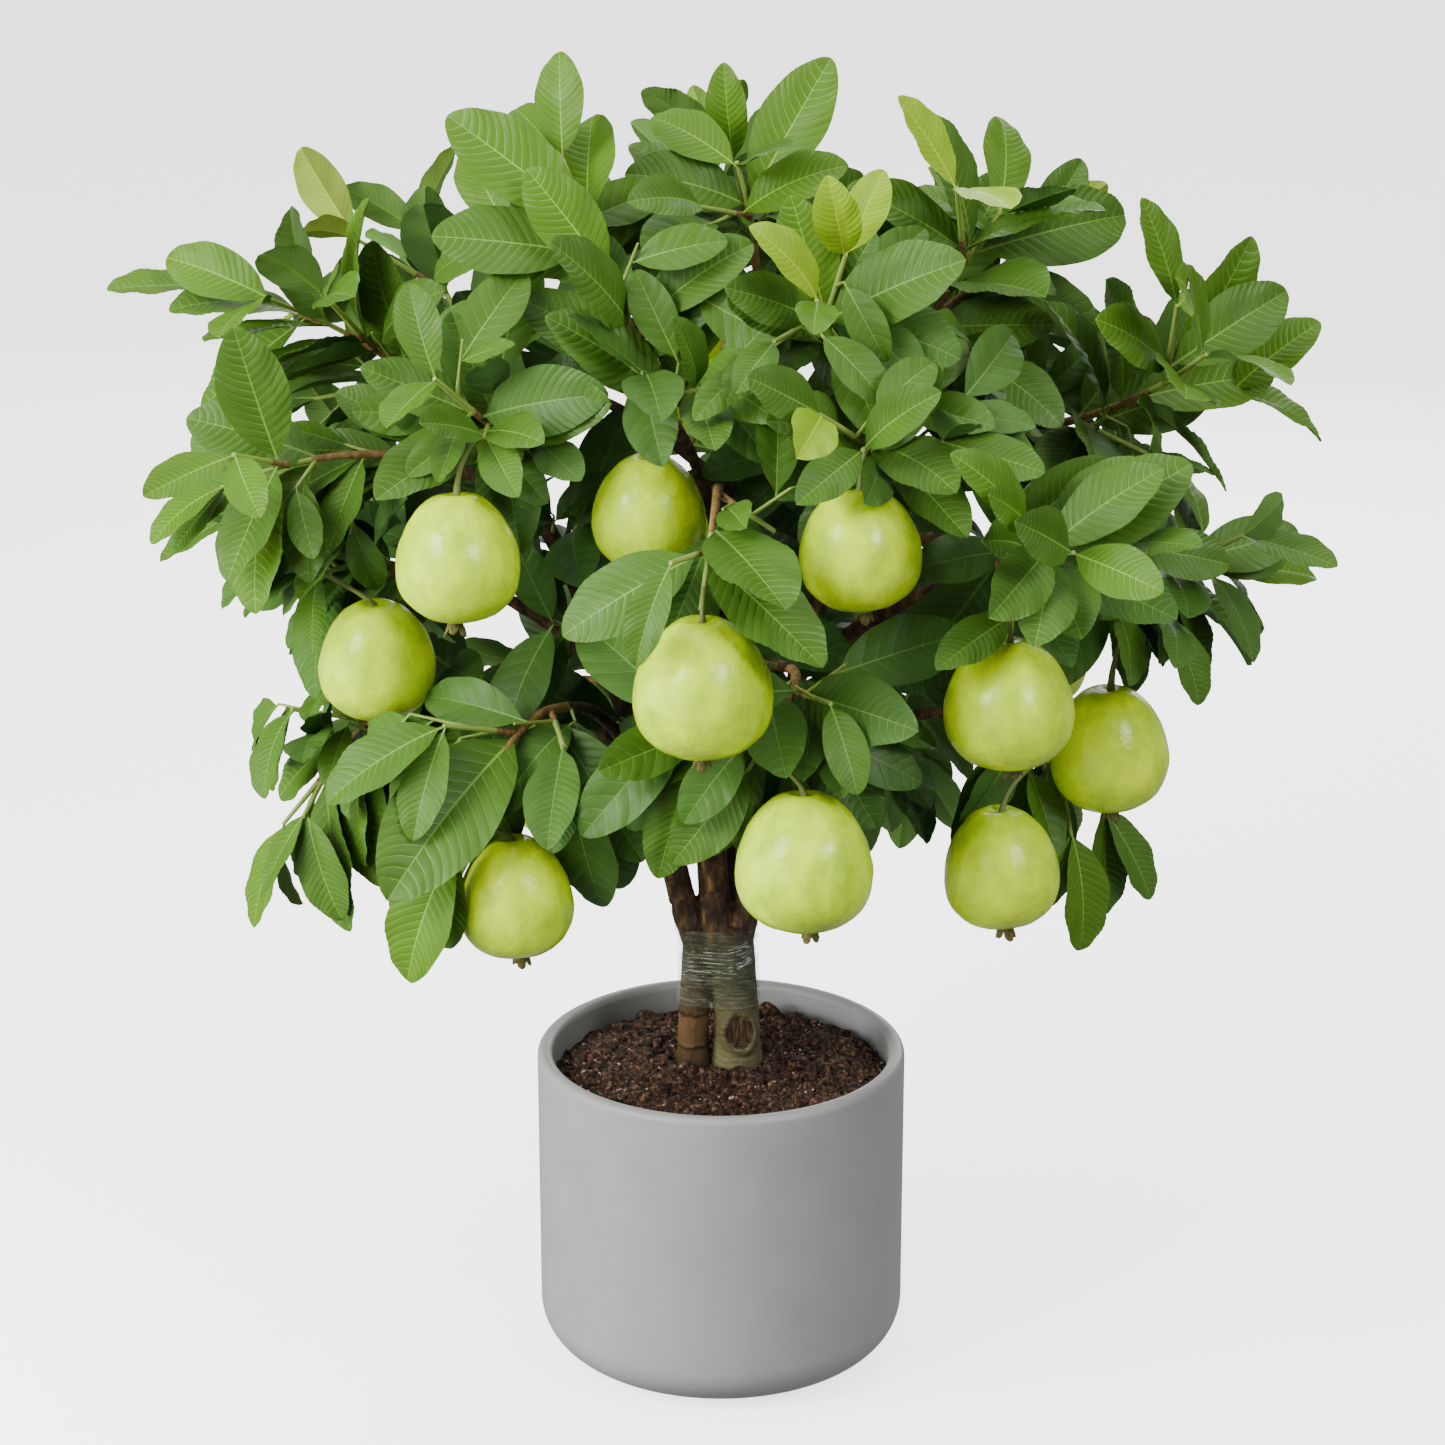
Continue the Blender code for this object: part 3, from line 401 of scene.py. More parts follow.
def together(shells: Sequence[Shell]) -> Shell:
    """Several shells as one list of corners and one list of faces.

    Args:
        shells: The shells.

    Returns:
        All corners and faces.
    """
    corners: list[Vector] = []
    faces: list[tuple[int, ...]] = []
    for more_corners, more_faces in shells:
        offset = len(corners)
        corners += more_corners
        faces += [tuple(i + offset for i in face) for face in more_faces]
    return corners, faces


def outward_from(point: Vector) -> Vector:
    """The level direction out of the crown at a point, drawn to the front or, far back, to the rear."""
    depth = LIGHT_DEPTH if point.y > BACK_BEGINS else -LIGHT_DEPTH
    return Vector((point.x * LIGHT_SIDEWAYS, point.y + depth, 0)).normalized()


def depth_of(point: Vector) -> float:
    """How far out in the crown a point stands: 0 in its middle, 1 at its outside."""
    away = point - CROWN_MIDDLE
    return Vector([part / size for part, size in zip(away, CROWN_SIZE)]).length


def light_at(point: Vector) -> Vector:
    """The direction that leaves at a point turn their upper side to."""
    return (Vector((0, 0, LIGHT_RISE)) + outward_from(point) * LIGHT_OUTWARD).normalized()


@dataclass
class Branch:
    """One tapering limb, bough or shoot.

    Attributes:
        points: Its centre line.
        first: Radius at its foot.
        last: Radius at its tip.
        sides: Sides of its plain form.
    """

    points: list[Vector]
    first: float
    last: float
    sides: int

    def __post_init__(self) -> None:
        """Works out the radius and direction at each point."""
        self.radii = tapered(self.first, self.last, len(self.points))
        self.directions = directions_of(self.points)

    def at(self, share: float) -> tuple[Vector, Vector, float]:
        """The point, the unit direction and the radius at a share of its length.

        Args:
            share: From 0 at its foot to 1 at its tip.

        Returns:
            The point, the direction and the radius.
        """
        place = share * (len(self.points) - 1)
        low = min(int(place), len(self.points) - 2)
        part = place - low
        point = self.points[low].lerp(self.points[low + 1], part)
        direction = self.directions[low].lerp(self.directions[low + 1], part).normalized()
        return point, direction, self.radii[low] * (1 - part) + self.radii[low + 1] * part

    def shell(self, growth: float = 0.0) -> Shell:
        """Its rod, thicker all round by growth."""
        return rod(self.points, [radius + growth for radius in self.radii], self.sides, self.directions)


@dataclass
class Limb(Branch):
    """One limb or bough.

    Attributes:
        carrier: Name of the limb that it leaves, if any.
    """

    carrier: str | None = None


def plan_limbs() -> dict[str, Limb]:
    """All limbs and boughs by name, worked out from the tables above.

    Returns:
        The limbs and boughs by name.
    """
    limbs: dict[str, Limb] = {}
    for name, foot, tip, bow, first, last in FORK_LIMBS:
        start, end = Vector(foot), Vector(tip)
        middle = start.lerp(end, 0.5) + Vector(bow) * 2
        limbs[name] = Limb(bend(start, middle, end, LIMB_STEPS), first, last, LIMB_SIDES)
    for place, carrier, share, tip, rise in BOUGHS:
        start, _, radius = limbs[carrier].at(share)
        end = Vector(tip)
        middle = start.lerp(end, 0.5) + Vector((0, 0, rise)) * 2
        first = min(radius * BOUGH_BASE_SHARE, BOUGH_BASE_MOST)
        path = bend(start, middle, end, BOUGH_STEPS)
        limbs["bough_" + place] = Limb(path, first, BOUGH_TIP, BOUGH_SIDES, carrier)
    return limbs


@dataclass
class Leaf:
    """One leaf: where it joins its shoot, how it points and faces, and how its blade curves.

    Attributes:
        root: Point on the shoot.
        along: Direction of its midrib at the foot.
        face: Direction of its upper side at the foot.
        length: Length from root to tip.
        draw: Source of its chances.
        age: Share along its shoot, 1 at the young tip.
    """

    root: Vector
    along: Vector
    face: Vector
    length: float
    draw: random.Random
    age: float = 0.5

    def __post_init__(self) -> None:
        """Draws the form of its blade."""
        self.side = self.along.cross(self.face)
        self.width = self.length * LEAF_ASPECT * self.draw.uniform(*WIDTH_CHANCES)
        self.arch = self.draw.uniform(*ARCH_CHANCES)
        self.fold = self.draw.uniform(*FOLD_CHANCES)
        self.twist = self.draw.uniform(-TWIST_CHANCE, TWIST_CHANCE)

    def half_width(self, u: float) -> float:
        """Half the blade's width at a share u of its length.

        Args:
            u: Share of the length.

        Returns:
            Half the width.
        """
        if u <= PETIOLE_SHARE:
            return self.width * STALK_HALF
        share = (u - PETIOLE_SHARE) / (1 - PETIOLE_SHARE)
        drawn, full = BLADE_FORM
        return self.width * (STALK_HALF + BLADE_ADDS * math.sin(math.pi * share**drawn) ** full)

    def frame(self, u: float) -> tuple[Vector, Vector, Vector]:
        """The midrib's point at u, and the blade's side and up directions there.

        Args:
            u: Share of the length.

        Returns:
            The point, the direction to the side and the direction up.
        """
        turn = self.arch * u
        out = self.length * math.sin(turn) / self.arch
        drop = self.length * (1 - math.cos(turn)) / self.arch
        point = self.root + self.along * out - self.face * drop
        up = self.face * math.cos(turn) + self.along * math.sin(turn)
        roll = self.twist * u
        side = self.side * math.cos(roll) + up * math.sin(roll)
        return point, side, up * math.cos(roll) - self.side * math.sin(roll)

    def point(self, u: float, v: float) -> Vector:
        """A point of the blade: u along its length, v from -1 to 1 across it.

        Args:
            u: Share of the length.
            v: Share of the half width.

        Returns:
            The point.
        """
        middle, side, up = self.frame(u)
        reach = self.half_width(u) * v
        return middle + side * (reach * math.cos(self.fold)) + up * (abs(reach) * math.sin(self.fold))

    def samples(self) -> list[Vector]:
        """Points that stand for the whole blade when its space is tested."""
        found = [self.point(u, v) for u in (0.2, 0.32, 0.52, 0.72, 0.88) for v in (-1, -0.5, 0, 0.5, 1)]
        return found + [self.point(1, 0)]

    def shell(self, start: float = 0.0, growth: float = 0.0) -> Shell:
        """The blade as a thin closed shell from u = start, grown all round by growth.

        Args:
            start: Share of the length at which it begins.
            growth: How much it grows all round.

        Returns:
            Its corners and faces.
        """
        depth = self.length * LEAF_THICKNESS / 2 + growth
        middle, side, up = self.frame(LEAF_WIDEST)
        tip_side = self.frame(LEAF_BLUNT)[1]
        corners = [self.frame(start)[0] + self.along * CLEARANCE]
        corners += [self.point(LEAF_WIDEST, -LEAF_FULLNESS) - side * growth, middle + up * depth]
        corners += [self.point(LEAF_WIDEST, LEAF_FULLNESS) + side * growth, middle - up * depth]
        corners += [self.point(LEAF_BLUNT, hand) + tip_side * hand * growth for hand in (-1, 1)]
        return corners, LEAF_FOOT + LEAF_BLADE


def pose_leaf(
    root: Vector, heading: Vector, droop: float, chance: float, length: float, draw: random.Random, age: float
) -> Leaf:
    """A leaf that droops from its heading and turns its upper side to the light.

    Args:
        root: Point on the shoot.
        heading: Direction in which it leaves the shoot.
        droop: How far that is drawn down.
        chance: How far its upper side may stray from the light.
        length: Its length.
        draw: Source of its chances.
        age: Share along its shoot.

    Returns:
        The leaf.
    """
    along = heading.copy()
    along.z -= droop
    along.normalize()
    face = light_at(root) + Vector([draw.uniform(-chance, chance) for _ in range(3)])
    face -= along * face.dot(along)
    return Leaf(root, along, face.normalized(), length, draw, age)


def fruit_radius(width: float, height: float, latitude: float) -> float:
    """A fruit's distance from its centre at a latitude in radians, fullest under the middle.

    Args:
        width: The fruit's width.
        height: Its height.
        latitude: Angle above the level.

    Returns:
        The distance.
    """
    wide, tall = width / 2, height / 2
    ellipse = wide * tall / math.hypot(tall * math.cos(latitude), wide * math.sin(latitude))
    return ellipse * (1 - FRUIT_LOW_FULLNESS * math.sin(latitude) * math.cos(latitude))


def fruit_body(centre: Vector, width: float, height: float, growth: float = 0.0) -> Shell:
    """The plain shell of a fruit, grown all round by growth.

    Args:
        centre: The fruit's middle.
        width: Its width.
        height: Its height.
        growth: How much it grows all round.

    Returns:
        Its corners and faces.
    """
    rings = []
    for ring in range(1, FRUIT_RINGS):
        latitude = math.pi * (ring / FRUIT_RINGS - 0.5)
        radius = fruit_radius(width, height, latitude) + growth
        level = centre + Vector((0, 0, radius * math.sin(latitude)))
        turns = [math.tau * (i + 0.5 * (ring % 2)) / FRUIT_SIDES for i in range(FRUIT_SIDES)]
        out = radius * math.cos(latitude)
        rings.append([level + Vector((math.cos(a), math.sin(a), 0)) * out for a in turns])
    corners, faces = tube(rings)
    low, high = len(corners), len(corners) + 1
    bottom_point = centre - Vector((0, 0, height * FRUIT_ENDS[0] + growth))
    top_point = centre + Vector((0, 0, height * FRUIT_ENDS[1] + growth))
    bottom = [(low, (i + 1) % FRUIT_SIDES, i) for i in range(FRUIT_SIDES)]
    last = low - FRUIT_SIDES
    top = [(high, last + i, last + (i + 1) % FRUIT_SIDES) for i in range(FRUIT_SIDES)]
    return [*corners, bottom_point, top_point], bottom + faces[2:] + top


@dataclass
class Twig(Branch):
    """One shoot and the places where its leaf pairs stand.

    Attributes:
        pairs: How many leaf pairs it bears.
        facing: Direction that its foot stands square to, if not to its path.
    """

    last: float = TWIG_TIP
    sides: int = TWIG_SIDES
    pairs: int = SIDE_PAIRS
    facing: Vector | None = None

    def __post_init__(self) -> None:
        """Works out the radius and direction at each point, its foot as it faces."""
        super().__post_init__()
        if self.facing:
            self.directions[0] = self.facing

    def nodes(self) -> Iterator[tuple[float, Vector, Vector]]:
        """Share, point and direction of each leaf pair, oldest first.

        Returns:
            The places one by one.
        """
        for i in range(self.pairs):
            share = FIRST_PAIR + (LAST_PAIR - FIRST_PAIR) * i / (self.pairs - 1)
            yield (share, *self.at(share)[:2])


class Fruit:
    """A round fruit on its stalk."""

    def __init__(self, centre: Sequence[float], width: float, height: float, twigs: Sequence[Twig]) -> None:
        """Hangs the fruit from the nearest fit place on a shoot.

        Args:
            centre: Its middle.
            width: Its width.
            height: Its height.
            twigs: The shoots that may carry it.
        """
        self.centre = Vector(centre)
        self.width = width
        self.height = height
        top = self.centre + Vector((0, 0, height * STALK_END))
        hooks = [twig.at(share)[0] for twig in twigs for share in HOOK_SHARES]
        low = top.z + STALK_DROP
        hook = min(hooks, key=lambda point: (point - top).length + 4 * max(0.0, low - point.z))
        below, above = STALK_MIDDLE
        middle = Vector((top.x, top.y, max(hook.z - below, top.z + above)))
        self.stalk_ends = (hook, middle, top)
        self.stalk = bend(hook, middle, top, 2)

    def stalk_shell(self) -> Shell:
        """The shell of the stalk."""
        return rod(self.stalk, [STALK_RADIUS] * len(self.stalk), TWIG_SIDES)


class Mass:
    """One mass of foliage: a leading shoot, its side shoots, their leaves and its fruit."""

    def __init__(self, row: Sequence[Any]) -> None:
        """Grows the shoots and hangs the fruit of one row of the table of masses.

        Args:
            row: The row of the table.
        """
        place, tip, pairs, self.leaf_length, turn, sides, side_length, self.droop, seed = row
        self.name = "mass_" + place
        self.turn = math.radians(turn)
        self.draw = random.Random(seed)
        self.finer = random.Random(seed + 1000)
        self.leaves: list[Leaf] = []
        self.spurs: list[Twig] = []
        self.bough = limb = LIMBS[LIMB_ENDS.get(place, "bough_" + place)]
        start = limb.points[-1] + limb.directions[-1] * CLEARANCE
        end = Vector(tip)
        middle = start + limb.directions[-1] * (end - start).length * LEADER_KEEPS
        path = bend(start, middle, end, LEADER_STEPS)
        leader = Twig(path, limb.radii[-1], pairs=pairs, facing=limb.directions[-1])
        self.twigs = [leader]
        for k in range(sides):
            share = FIRST_SIDE_TWIG + (LAST_SIDE_TWIG - FIRST_SIDE_TWIG) * k / max(sides - 1, 1)
            twig = self.side_twig(leader, share, self.turn + GOLDEN_ANGLE * k, side_length)
            if not BVHTree.FromPolygons(*twig.shell(TWIG_MARGIN)).overlap(FIRM):
                self.twigs.append(twig)
        self.fruits = [Fruit(*fruit[1:], self.twigs) for fruit in FRUITS if fruit[0] == place]

    def side_twig(self, leader: Twig, share: float, turn: float, length: float) -> Twig:
        """A side shoot that leaves the leader and reaches outwards.

        Args:
            leader: The shoot that it leaves.
            share: Where on that shoot's length.
            turn: Its turn round that shoot in radians.
            length: Its length.

        Returns:
            The side shoot.
        """
        point, direction, _ = leader.at(share)
        side = Matrix.Rotation(turn, 3, direction) @ side_of(direction)
        heading = direction * math.cos(SIDE_ANGLE) + side * math.sin(SIDE_ANGLE)
        heading = (heading + outward_from(point) * SIDE_OUTWARD).normalized()
        end = point + heading * length
        return Twig([point, end], SIDE_TWIG_BASE)

    def balls(self) -> list[tuple[Vector, float]]:
        """Centres and radii that stand for this mass's shoots and fruit when space is shared out.

        Returns:
            Each centre with its radius.
        """
        found = []
        for twig in self.twigs:
            found += [(twig.at(share)[0], 0.0) for share in SHOOT_SHARES]
            found.append((twig.points[-1] + twig.directions[-1] * SHOOT_REACH, 0.0))
        return found + [(fruit.centre, fruit.width / 2) for fruit in self.fruits]

    def grow_leaves(self, crown: "Crown") -> None:
        """Sets the leaf pairs of every shoot, each pair turned a quarter from the last.

        Args:
            crown: The crown that they grow in.
        """
        for twig in self.twigs:
            for i, (share, point, direction) in enumerate(twig.nodes()):
                turn = self.turn + math.pi / 2 * i + self.draw.uniform(-PAIR_CHANCE, PAIR_CHANCE)
                for hand in (0, math.pi):
                    self.keep(crown, self.place_leaf(crown, share, point, direction, turn + hand))

    def keep(self, crown: "Crown", leaf: Leaf | None) -> None:
        """Takes a leaf that found room, here and in the crown.

        Args:
            crown: The crown that it grows in.
            leaf: The leaf, or None where nothing fits.
        """
        if leaf:
            self.leaves.append(leaf)
            crown.keep(leaf)

    def place_leaf(
        self, crown: "Crown", share: float, point: Vector, direction: Vector, turn: float
    ) -> Leaf | None:
        """The first try at a leaf that has room, each try turned further and shorter.

        Args:
            crown: The crown that it grows in.
            share: Its place on the shoot's length.
            point: Its root.
            direction: The shoot's direction there.
            turn: Its turn round the shoot in radians.

        Returns:
            The leaf, or None where nothing fits.
        """
        draw = self.draw
        light = light_at(point)
        rest = LEAF_ANGLE_FOOT + (LEAF_ANGLE_TIP - LEAF_ANGLE_FOOT) * share
        size = self.leaf_length * draw.uniform(*LENGTH_CHANCES)
        if share > YOUNG_BEGINS:
            size *= YOUNG_SIZE
        for attempt in range(LEAF_TRIES):
            stray = TRY_STRAY * attempt
            angle = rest + draw.uniform(-ANGLE_CHANCE, ANGLE_CHANCE) - draw.uniform(0, stray)
            spun = turn + draw.uniform(-1.5, 1.5) * stray
            out = Matrix.Rotation(spun, 3, direction) @ side_of(direction)
            out -= light * out.dot(light) * SPREAD_TO_LIGHT
            heading = direction * math.cos(angle) + out.normalized() * math.sin(angle)
            shorter = size * (1 - TRY_SHRINK * attempt)
            leaf = pose_leaf(point, heading, self.droop, FACE_CHANCE, shorter, draw, share)
            if crown.has_room(leaf, self):
                return leaf
        return None

    def spur_places(self) -> list[tuple[Vector, Vector, float]]:
        """Point, direction and radius at each place that may bear a spur, on shoots and on the bough.

        Returns:
            The places, those on the shoots first.
        """
        places = [(*twig.at(share)[:2], TWIG_TIP) for twig in self.twigs for share in SPUR_SHARES]
        bough = self.bough
        length = sum((b - a).length for a, b in zip(bough.points, bough.points[1:]))
        count = int(length / SPUR_STEP)
        for i in range(count):
            share = SPUR_BEGINS + (1 - SPUR_BEGINS) * (i + self.finer.random()) / count
            point, _, radius = bough.at(share)
            if point.z > SPUR_LOWEST:
                places.append((point, bough.directions[round(share * (len(bough.points) - 1))], radius))
        return places

    def grow_spurs(self, crown: "Crown") -> None:
        """Grows short spurs between the leaf pairs and on the bough behind, where there is room.

        Args:
            crown: The crown that they grow in.
        """
        draw = self.finer
        for point, direction, radius in self.spur_places():
            if depth_of(point) > SPUR_REACH:
                continue
            turn = draw.uniform(0, math.tau)
            side = Matrix.Rotation(turn, 3, direction) @ side_of(direction)
            heading = direction * math.cos(SPUR_ANGLE) + side * math.sin(SPUR_ANGLE)
            heading = (heading + light_at(point) * SPUR_TO_LIGHT).normalized()
            end = point + heading * (radius + draw.uniform(*SPUR_LENGTHS))
            foot = point + heading * (radius * SPUR_FREE[0] + SPUR_FREE[1])
            free = Twig([foot, end], SPUR_BASE, SPUR_TIP)
            if BVHTree.FromPolygons(*free.shell(SOLID_MARGIN)).overlap(FIRM):
                continue
            spur = Twig([point, end], SPUR_BASE, SPUR_TIP)
            hands = [(share, hand) for share in SPUR_PAIRS for hand in (0, math.pi)]
            if any([self.spur_leaf(crown, spur, share, turn + hand) for share, hand in hands]):
                self.spurs.append(spur)

    def spur_leaf(self, crown: "Crown", spur: Twig, share: float, turn: float) -> Leaf | None:
        """The first try at a small leaf on a spur that has room.

        Args:
            crown: The crown that it grows in.
            spur: The spur that bears it.
            share: Its place on the spur's length.
            turn: Its turn round the spur in radians.

        Returns:
            The leaf, already kept, or None where nothing fits.
        """
        draw = self.finer
        point, direction, _ = spur.at(share)
        size = self.leaf_length * draw.uniform(*SPUR_LEAF_SHARE)
        for attempt in range(SPUR_TRIES):
            spun = turn + draw.uniform(-SPUR_TURN_CHANCE, SPUR_TURN_CHANCE) * (1 + attempt)
            angle = draw.uniform(*SPUR_LEAF_ANGLES)
            out = Matrix.Rotation(spun, 3, direction) @ side_of(direction)
            heading = direction * math.cos(angle) + out * math.sin(angle)
            droop, shorter = self.droop * SPUR_DROOP, size * (1 - SPUR_SHRINK * attempt)
            leaf = pose_leaf(point, heading, droop, SPUR_FACE_CHANCE, shorter, draw, 0.5 + share / 2)
            tip = leaf.point(1, 0)
            most = SPUR_LEAF_REACH_BEHIND if tip.y > BEHIND_BEGINS else SPUR_LEAF_REACH
            outside = depth_of(tip) > most
            if not outside and not crown.before_fruit(leaf) and crown.has_room(leaf, None):
                self.keep(crown, leaf)
                return leaf
        return None


class Crown:
    """All masses, and the rule that shares the room of the crown among their leaves."""

    def __init__(self, rows: Sequence[Sequence[Any]]) -> None:
        """Grows the shoots of every mass and shares out the room.

        Args:
            rows: The table of masses.
        """
        self.masses = [Mass(row) for row in rows]
        self.kept: list[tuple[Vector, float, BVHTree]] = []
        balls = [(*ball[0], ball[1], i) for i, mass in enumerate(self.masses) for ball in mass.balls()]
        self.balls = np.array(balls)
        solids = [twig.shell() for mass in self.masses for twig in mass.twigs]
        solids += [fruit.stalk_shell() for mass in self.masses for fruit in mass.fruits]
        self.shoots = BVHTree.FromPolygons(*together(solids))

    def grow(self) -> None:
        """Grows the leaves of every mass in turn, clears the fruit in front, and then grows the spurs."""
        for mass in self.masses:
            mass.grow_leaves(self)
        self.kept = []
        for mass in self.masses:
            mass.leaves = [leaf for leaf in mass.leaves if not self.before_fruit(leaf)]
            for leaf in mass.leaves:
                self.keep(leaf)
        for mass in self.masses:
            mass.grow_spurs(self)

    def before_fruit(self, leaf: Leaf) -> bool:
        """True if much of the leaf hangs before one of the fruit in front.

        Args:
            leaf: The leaf.

        Returns:
            Whether it would hide the fruit.
        """
        for _, centre, width, _ in FRUITS:
            hidden = 0
            for point in leaf.samples() if centre[1] < FRONT_BEGINS else []:
                line = point - FRONT_EYE
                reach = (Vector(centre) - FRONT_EYE).dot(line) / line.length_squared
                away = (FRONT_EYE + line * reach - Vector(centre)).length
                hidden += reach > 1 and away < width / 2 * FRUIT_SHOWN
            if hidden >= LEAF_BEFORE_FRUIT:
                return True
        return False

    def keep(self, leaf: Leaf) -> None:
        """Remembers a leaf, so that the next ones stay clear of it."""
        self.kept.append((leaf.point(0.5, 0), leaf.length, BVHTree.FromPolygons(*leaf.shell(BLADE_START))))

    def in_own_space(self, leaf: Leaf, mass: Mass | None) -> bool:
        """True if the leaf is within the crown and, where a mass is named, nearest to that mass.

        Args:
            leaf: The leaf.
            mass: The mass that it should be nearest to, if any.

        Returns:
            Whether it is.
        """
        points = np.array(leaf.samples())
        if (points < CROWN_LOW).any() or (points > CROWN_HIGH).any():
            return False
        if mass is None:
            return True
        gaps = np.linalg.norm(points[:, None] - self.balls[None, :, :3], axis=2) - self.balls[:, 3]
        own = self.balls[:, 4] == self.masses.index(mass)
        return bool((gaps[:, own].min(axis=1) + SPACE_MARGIN < gaps[:, ~own].min(axis=1)).all())

    def has_room(self, leaf: Leaf, mass: Mass | None) -> bool:
        """True if the leaf keeps to its mass's space, if one is named, and clear of what stands there.

        Args:
            leaf: The leaf.
            mass: The mass whose space it should keep to, if any.

        Returns:
            Whether it has room.
        """
        if not self.in_own_space(leaf, mass):
            return False
        blade = BVHTree.FromPolygons(*leaf.shell(BLADE_START, SOLID_MARGIN))
        if blade.overlap(FIRM) or blade.overlap(self.shoots):
            return False
        middle = leaf.point(0.5, 0)
        for centre, length, kept in self.kept:
            if (centre - middle).length < (length + leaf.length) * NEAR_SHARE and blade.overlap(kept):
                return False
        return True


def plan_firm() -> BVHTree:
    """The limbs and the fruit, grown by their margin, as what shoots and leaves must not touch.

    Returns:
        The tree of their faces, which tells what touches them.
    """
    shells = [limb.shell(SOLID_MARGIN) for limb in LIMBS.values()]
    shells += [fruit_body(Vector(centre), *size, SOLID_MARGIN) for _, centre, *size in FRUITS]
    return BVHTree.FromPolygons(*together(shells))


LIMBS = plan_limbs()
FIRM = plan_firm()


SCALAR, VECTOR, SPREAD = "ShaderNodeMath", "ShaderNodeVectorMath", "ShaderNodeMapRange"
NOISE, MIX, RAMP, BUMP = "ShaderNodeTexNoise", "ShaderNodeMix", "ShaderNodeValToRGB", "ShaderNodeBump"
READ, SET = "GeometryNodeInputNamedAttribute", "GeometryNodeInstanceOnPoints"
MOVE, LOOSE = "GeometryNodeSetPosition", "GeometryNodeRealizeInstances"
FLOAT, OBJECT = "NodeSocketFloat", "NodeSocketObject"
Step = tuple[str, str, Any, Any]


def linear(code: str) -> tuple[float, float, float, float]:
    """An sRGB hex colour as linear light.

    Args:
        code: The colour as #RRGGBB.

    Returns:
        Red, green, blue and a full alpha.
    """
    parts = [int(code[i : i + 2], 16) / 255 for i in (1, 3, 5)]
    red, green, blue = (p / 12.92 if p <= 0.04045 else ((p + 0.055) / 1.055) ** 2.4 for p in parts)
    return red, green, blue, 1.0


def feed(tree: bpy.types.NodeTree, node: bpy.types.Node, inputs: dict[int | str, Any]) -> None:
    """Links or sets the inputs of a node.

    Args:
        tree: The tree that holds it.
        node: The node.
        inputs: What each input takes, by number, identifier or name: a value, a socket or a node,
            which stands for its first output in use.
    """
    for key, value in inputs.items():
        named = [socket for socket in node.inputs if socket.identifier == key]
        socket = named[0] if named else node.inputs[key]
        if isinstance(value, bpy.types.Node):
            value = next(output for output in value.outputs if output.enabled)
        if isinstance(value, bpy.types.NodeSocket):
            tree.links.new(value, socket)
        else:
            socket.default_value = value


def add_node(
    tree: bpy.types.NodeTree, kind: str, settings: dict[str, Any], inputs: dict[int | str, Any]
) -> bpy.types.Node:
    """Adds one node with its settings and links.

    Args:
        tree: The tree that takes it.
        kind: Its type.
        settings: Its properties; "stops" holds the places and hex colours of a colour ramp.
        inputs: What each of its inputs takes.

    Returns:
        The node.
    """
    node = tree.nodes.new(kind)
    for name, value in settings.items():
        if name != "stops":
            setattr(node, name, value)
            continue
        for i, (place, code) in enumerate(value):
            stop = node.color_ramp.elements[i] if i < 2 else node.color_ramp.elements.new(place)
            stop.position, stop.color = place, linear(code)
    feed(tree, node, inputs)
    return node


def add_steps(tree: bpy.types.NodeTree, known: dict[str, Any], steps: Sequence[Step]) -> None:
    """Adds a table of nodes to a tree.

    Args:
        tree: The tree that takes them.
        known: Nodes by name, to which each new one is added.
        steps: For each node its name, its type, its operation or settings, and its inputs in order or
            by name. A word that is known stands for that node, and "name.Output" for one of its outputs.
    """
    for name, kind, settings, terms in steps:
        if isinstance(settings, str):
            settings = {"operation": settings}
        if not isinstance(terms, dict):
            places = (0, "Scale") if settings.get("operation") == "SCALE" else range(len(terms))
            terms = dict(zip(places, terms))
        inputs = {}
        for key, term in terms.items():
            node, _, output = term.partition(".") if isinstance(term, str) else ("", "", "")
            inputs[key] = term
            if node in known:
                inputs[key] = known[node].outputs[output] if output else known[node]
        known[name] = add_node(tree, kind, settings, inputs)


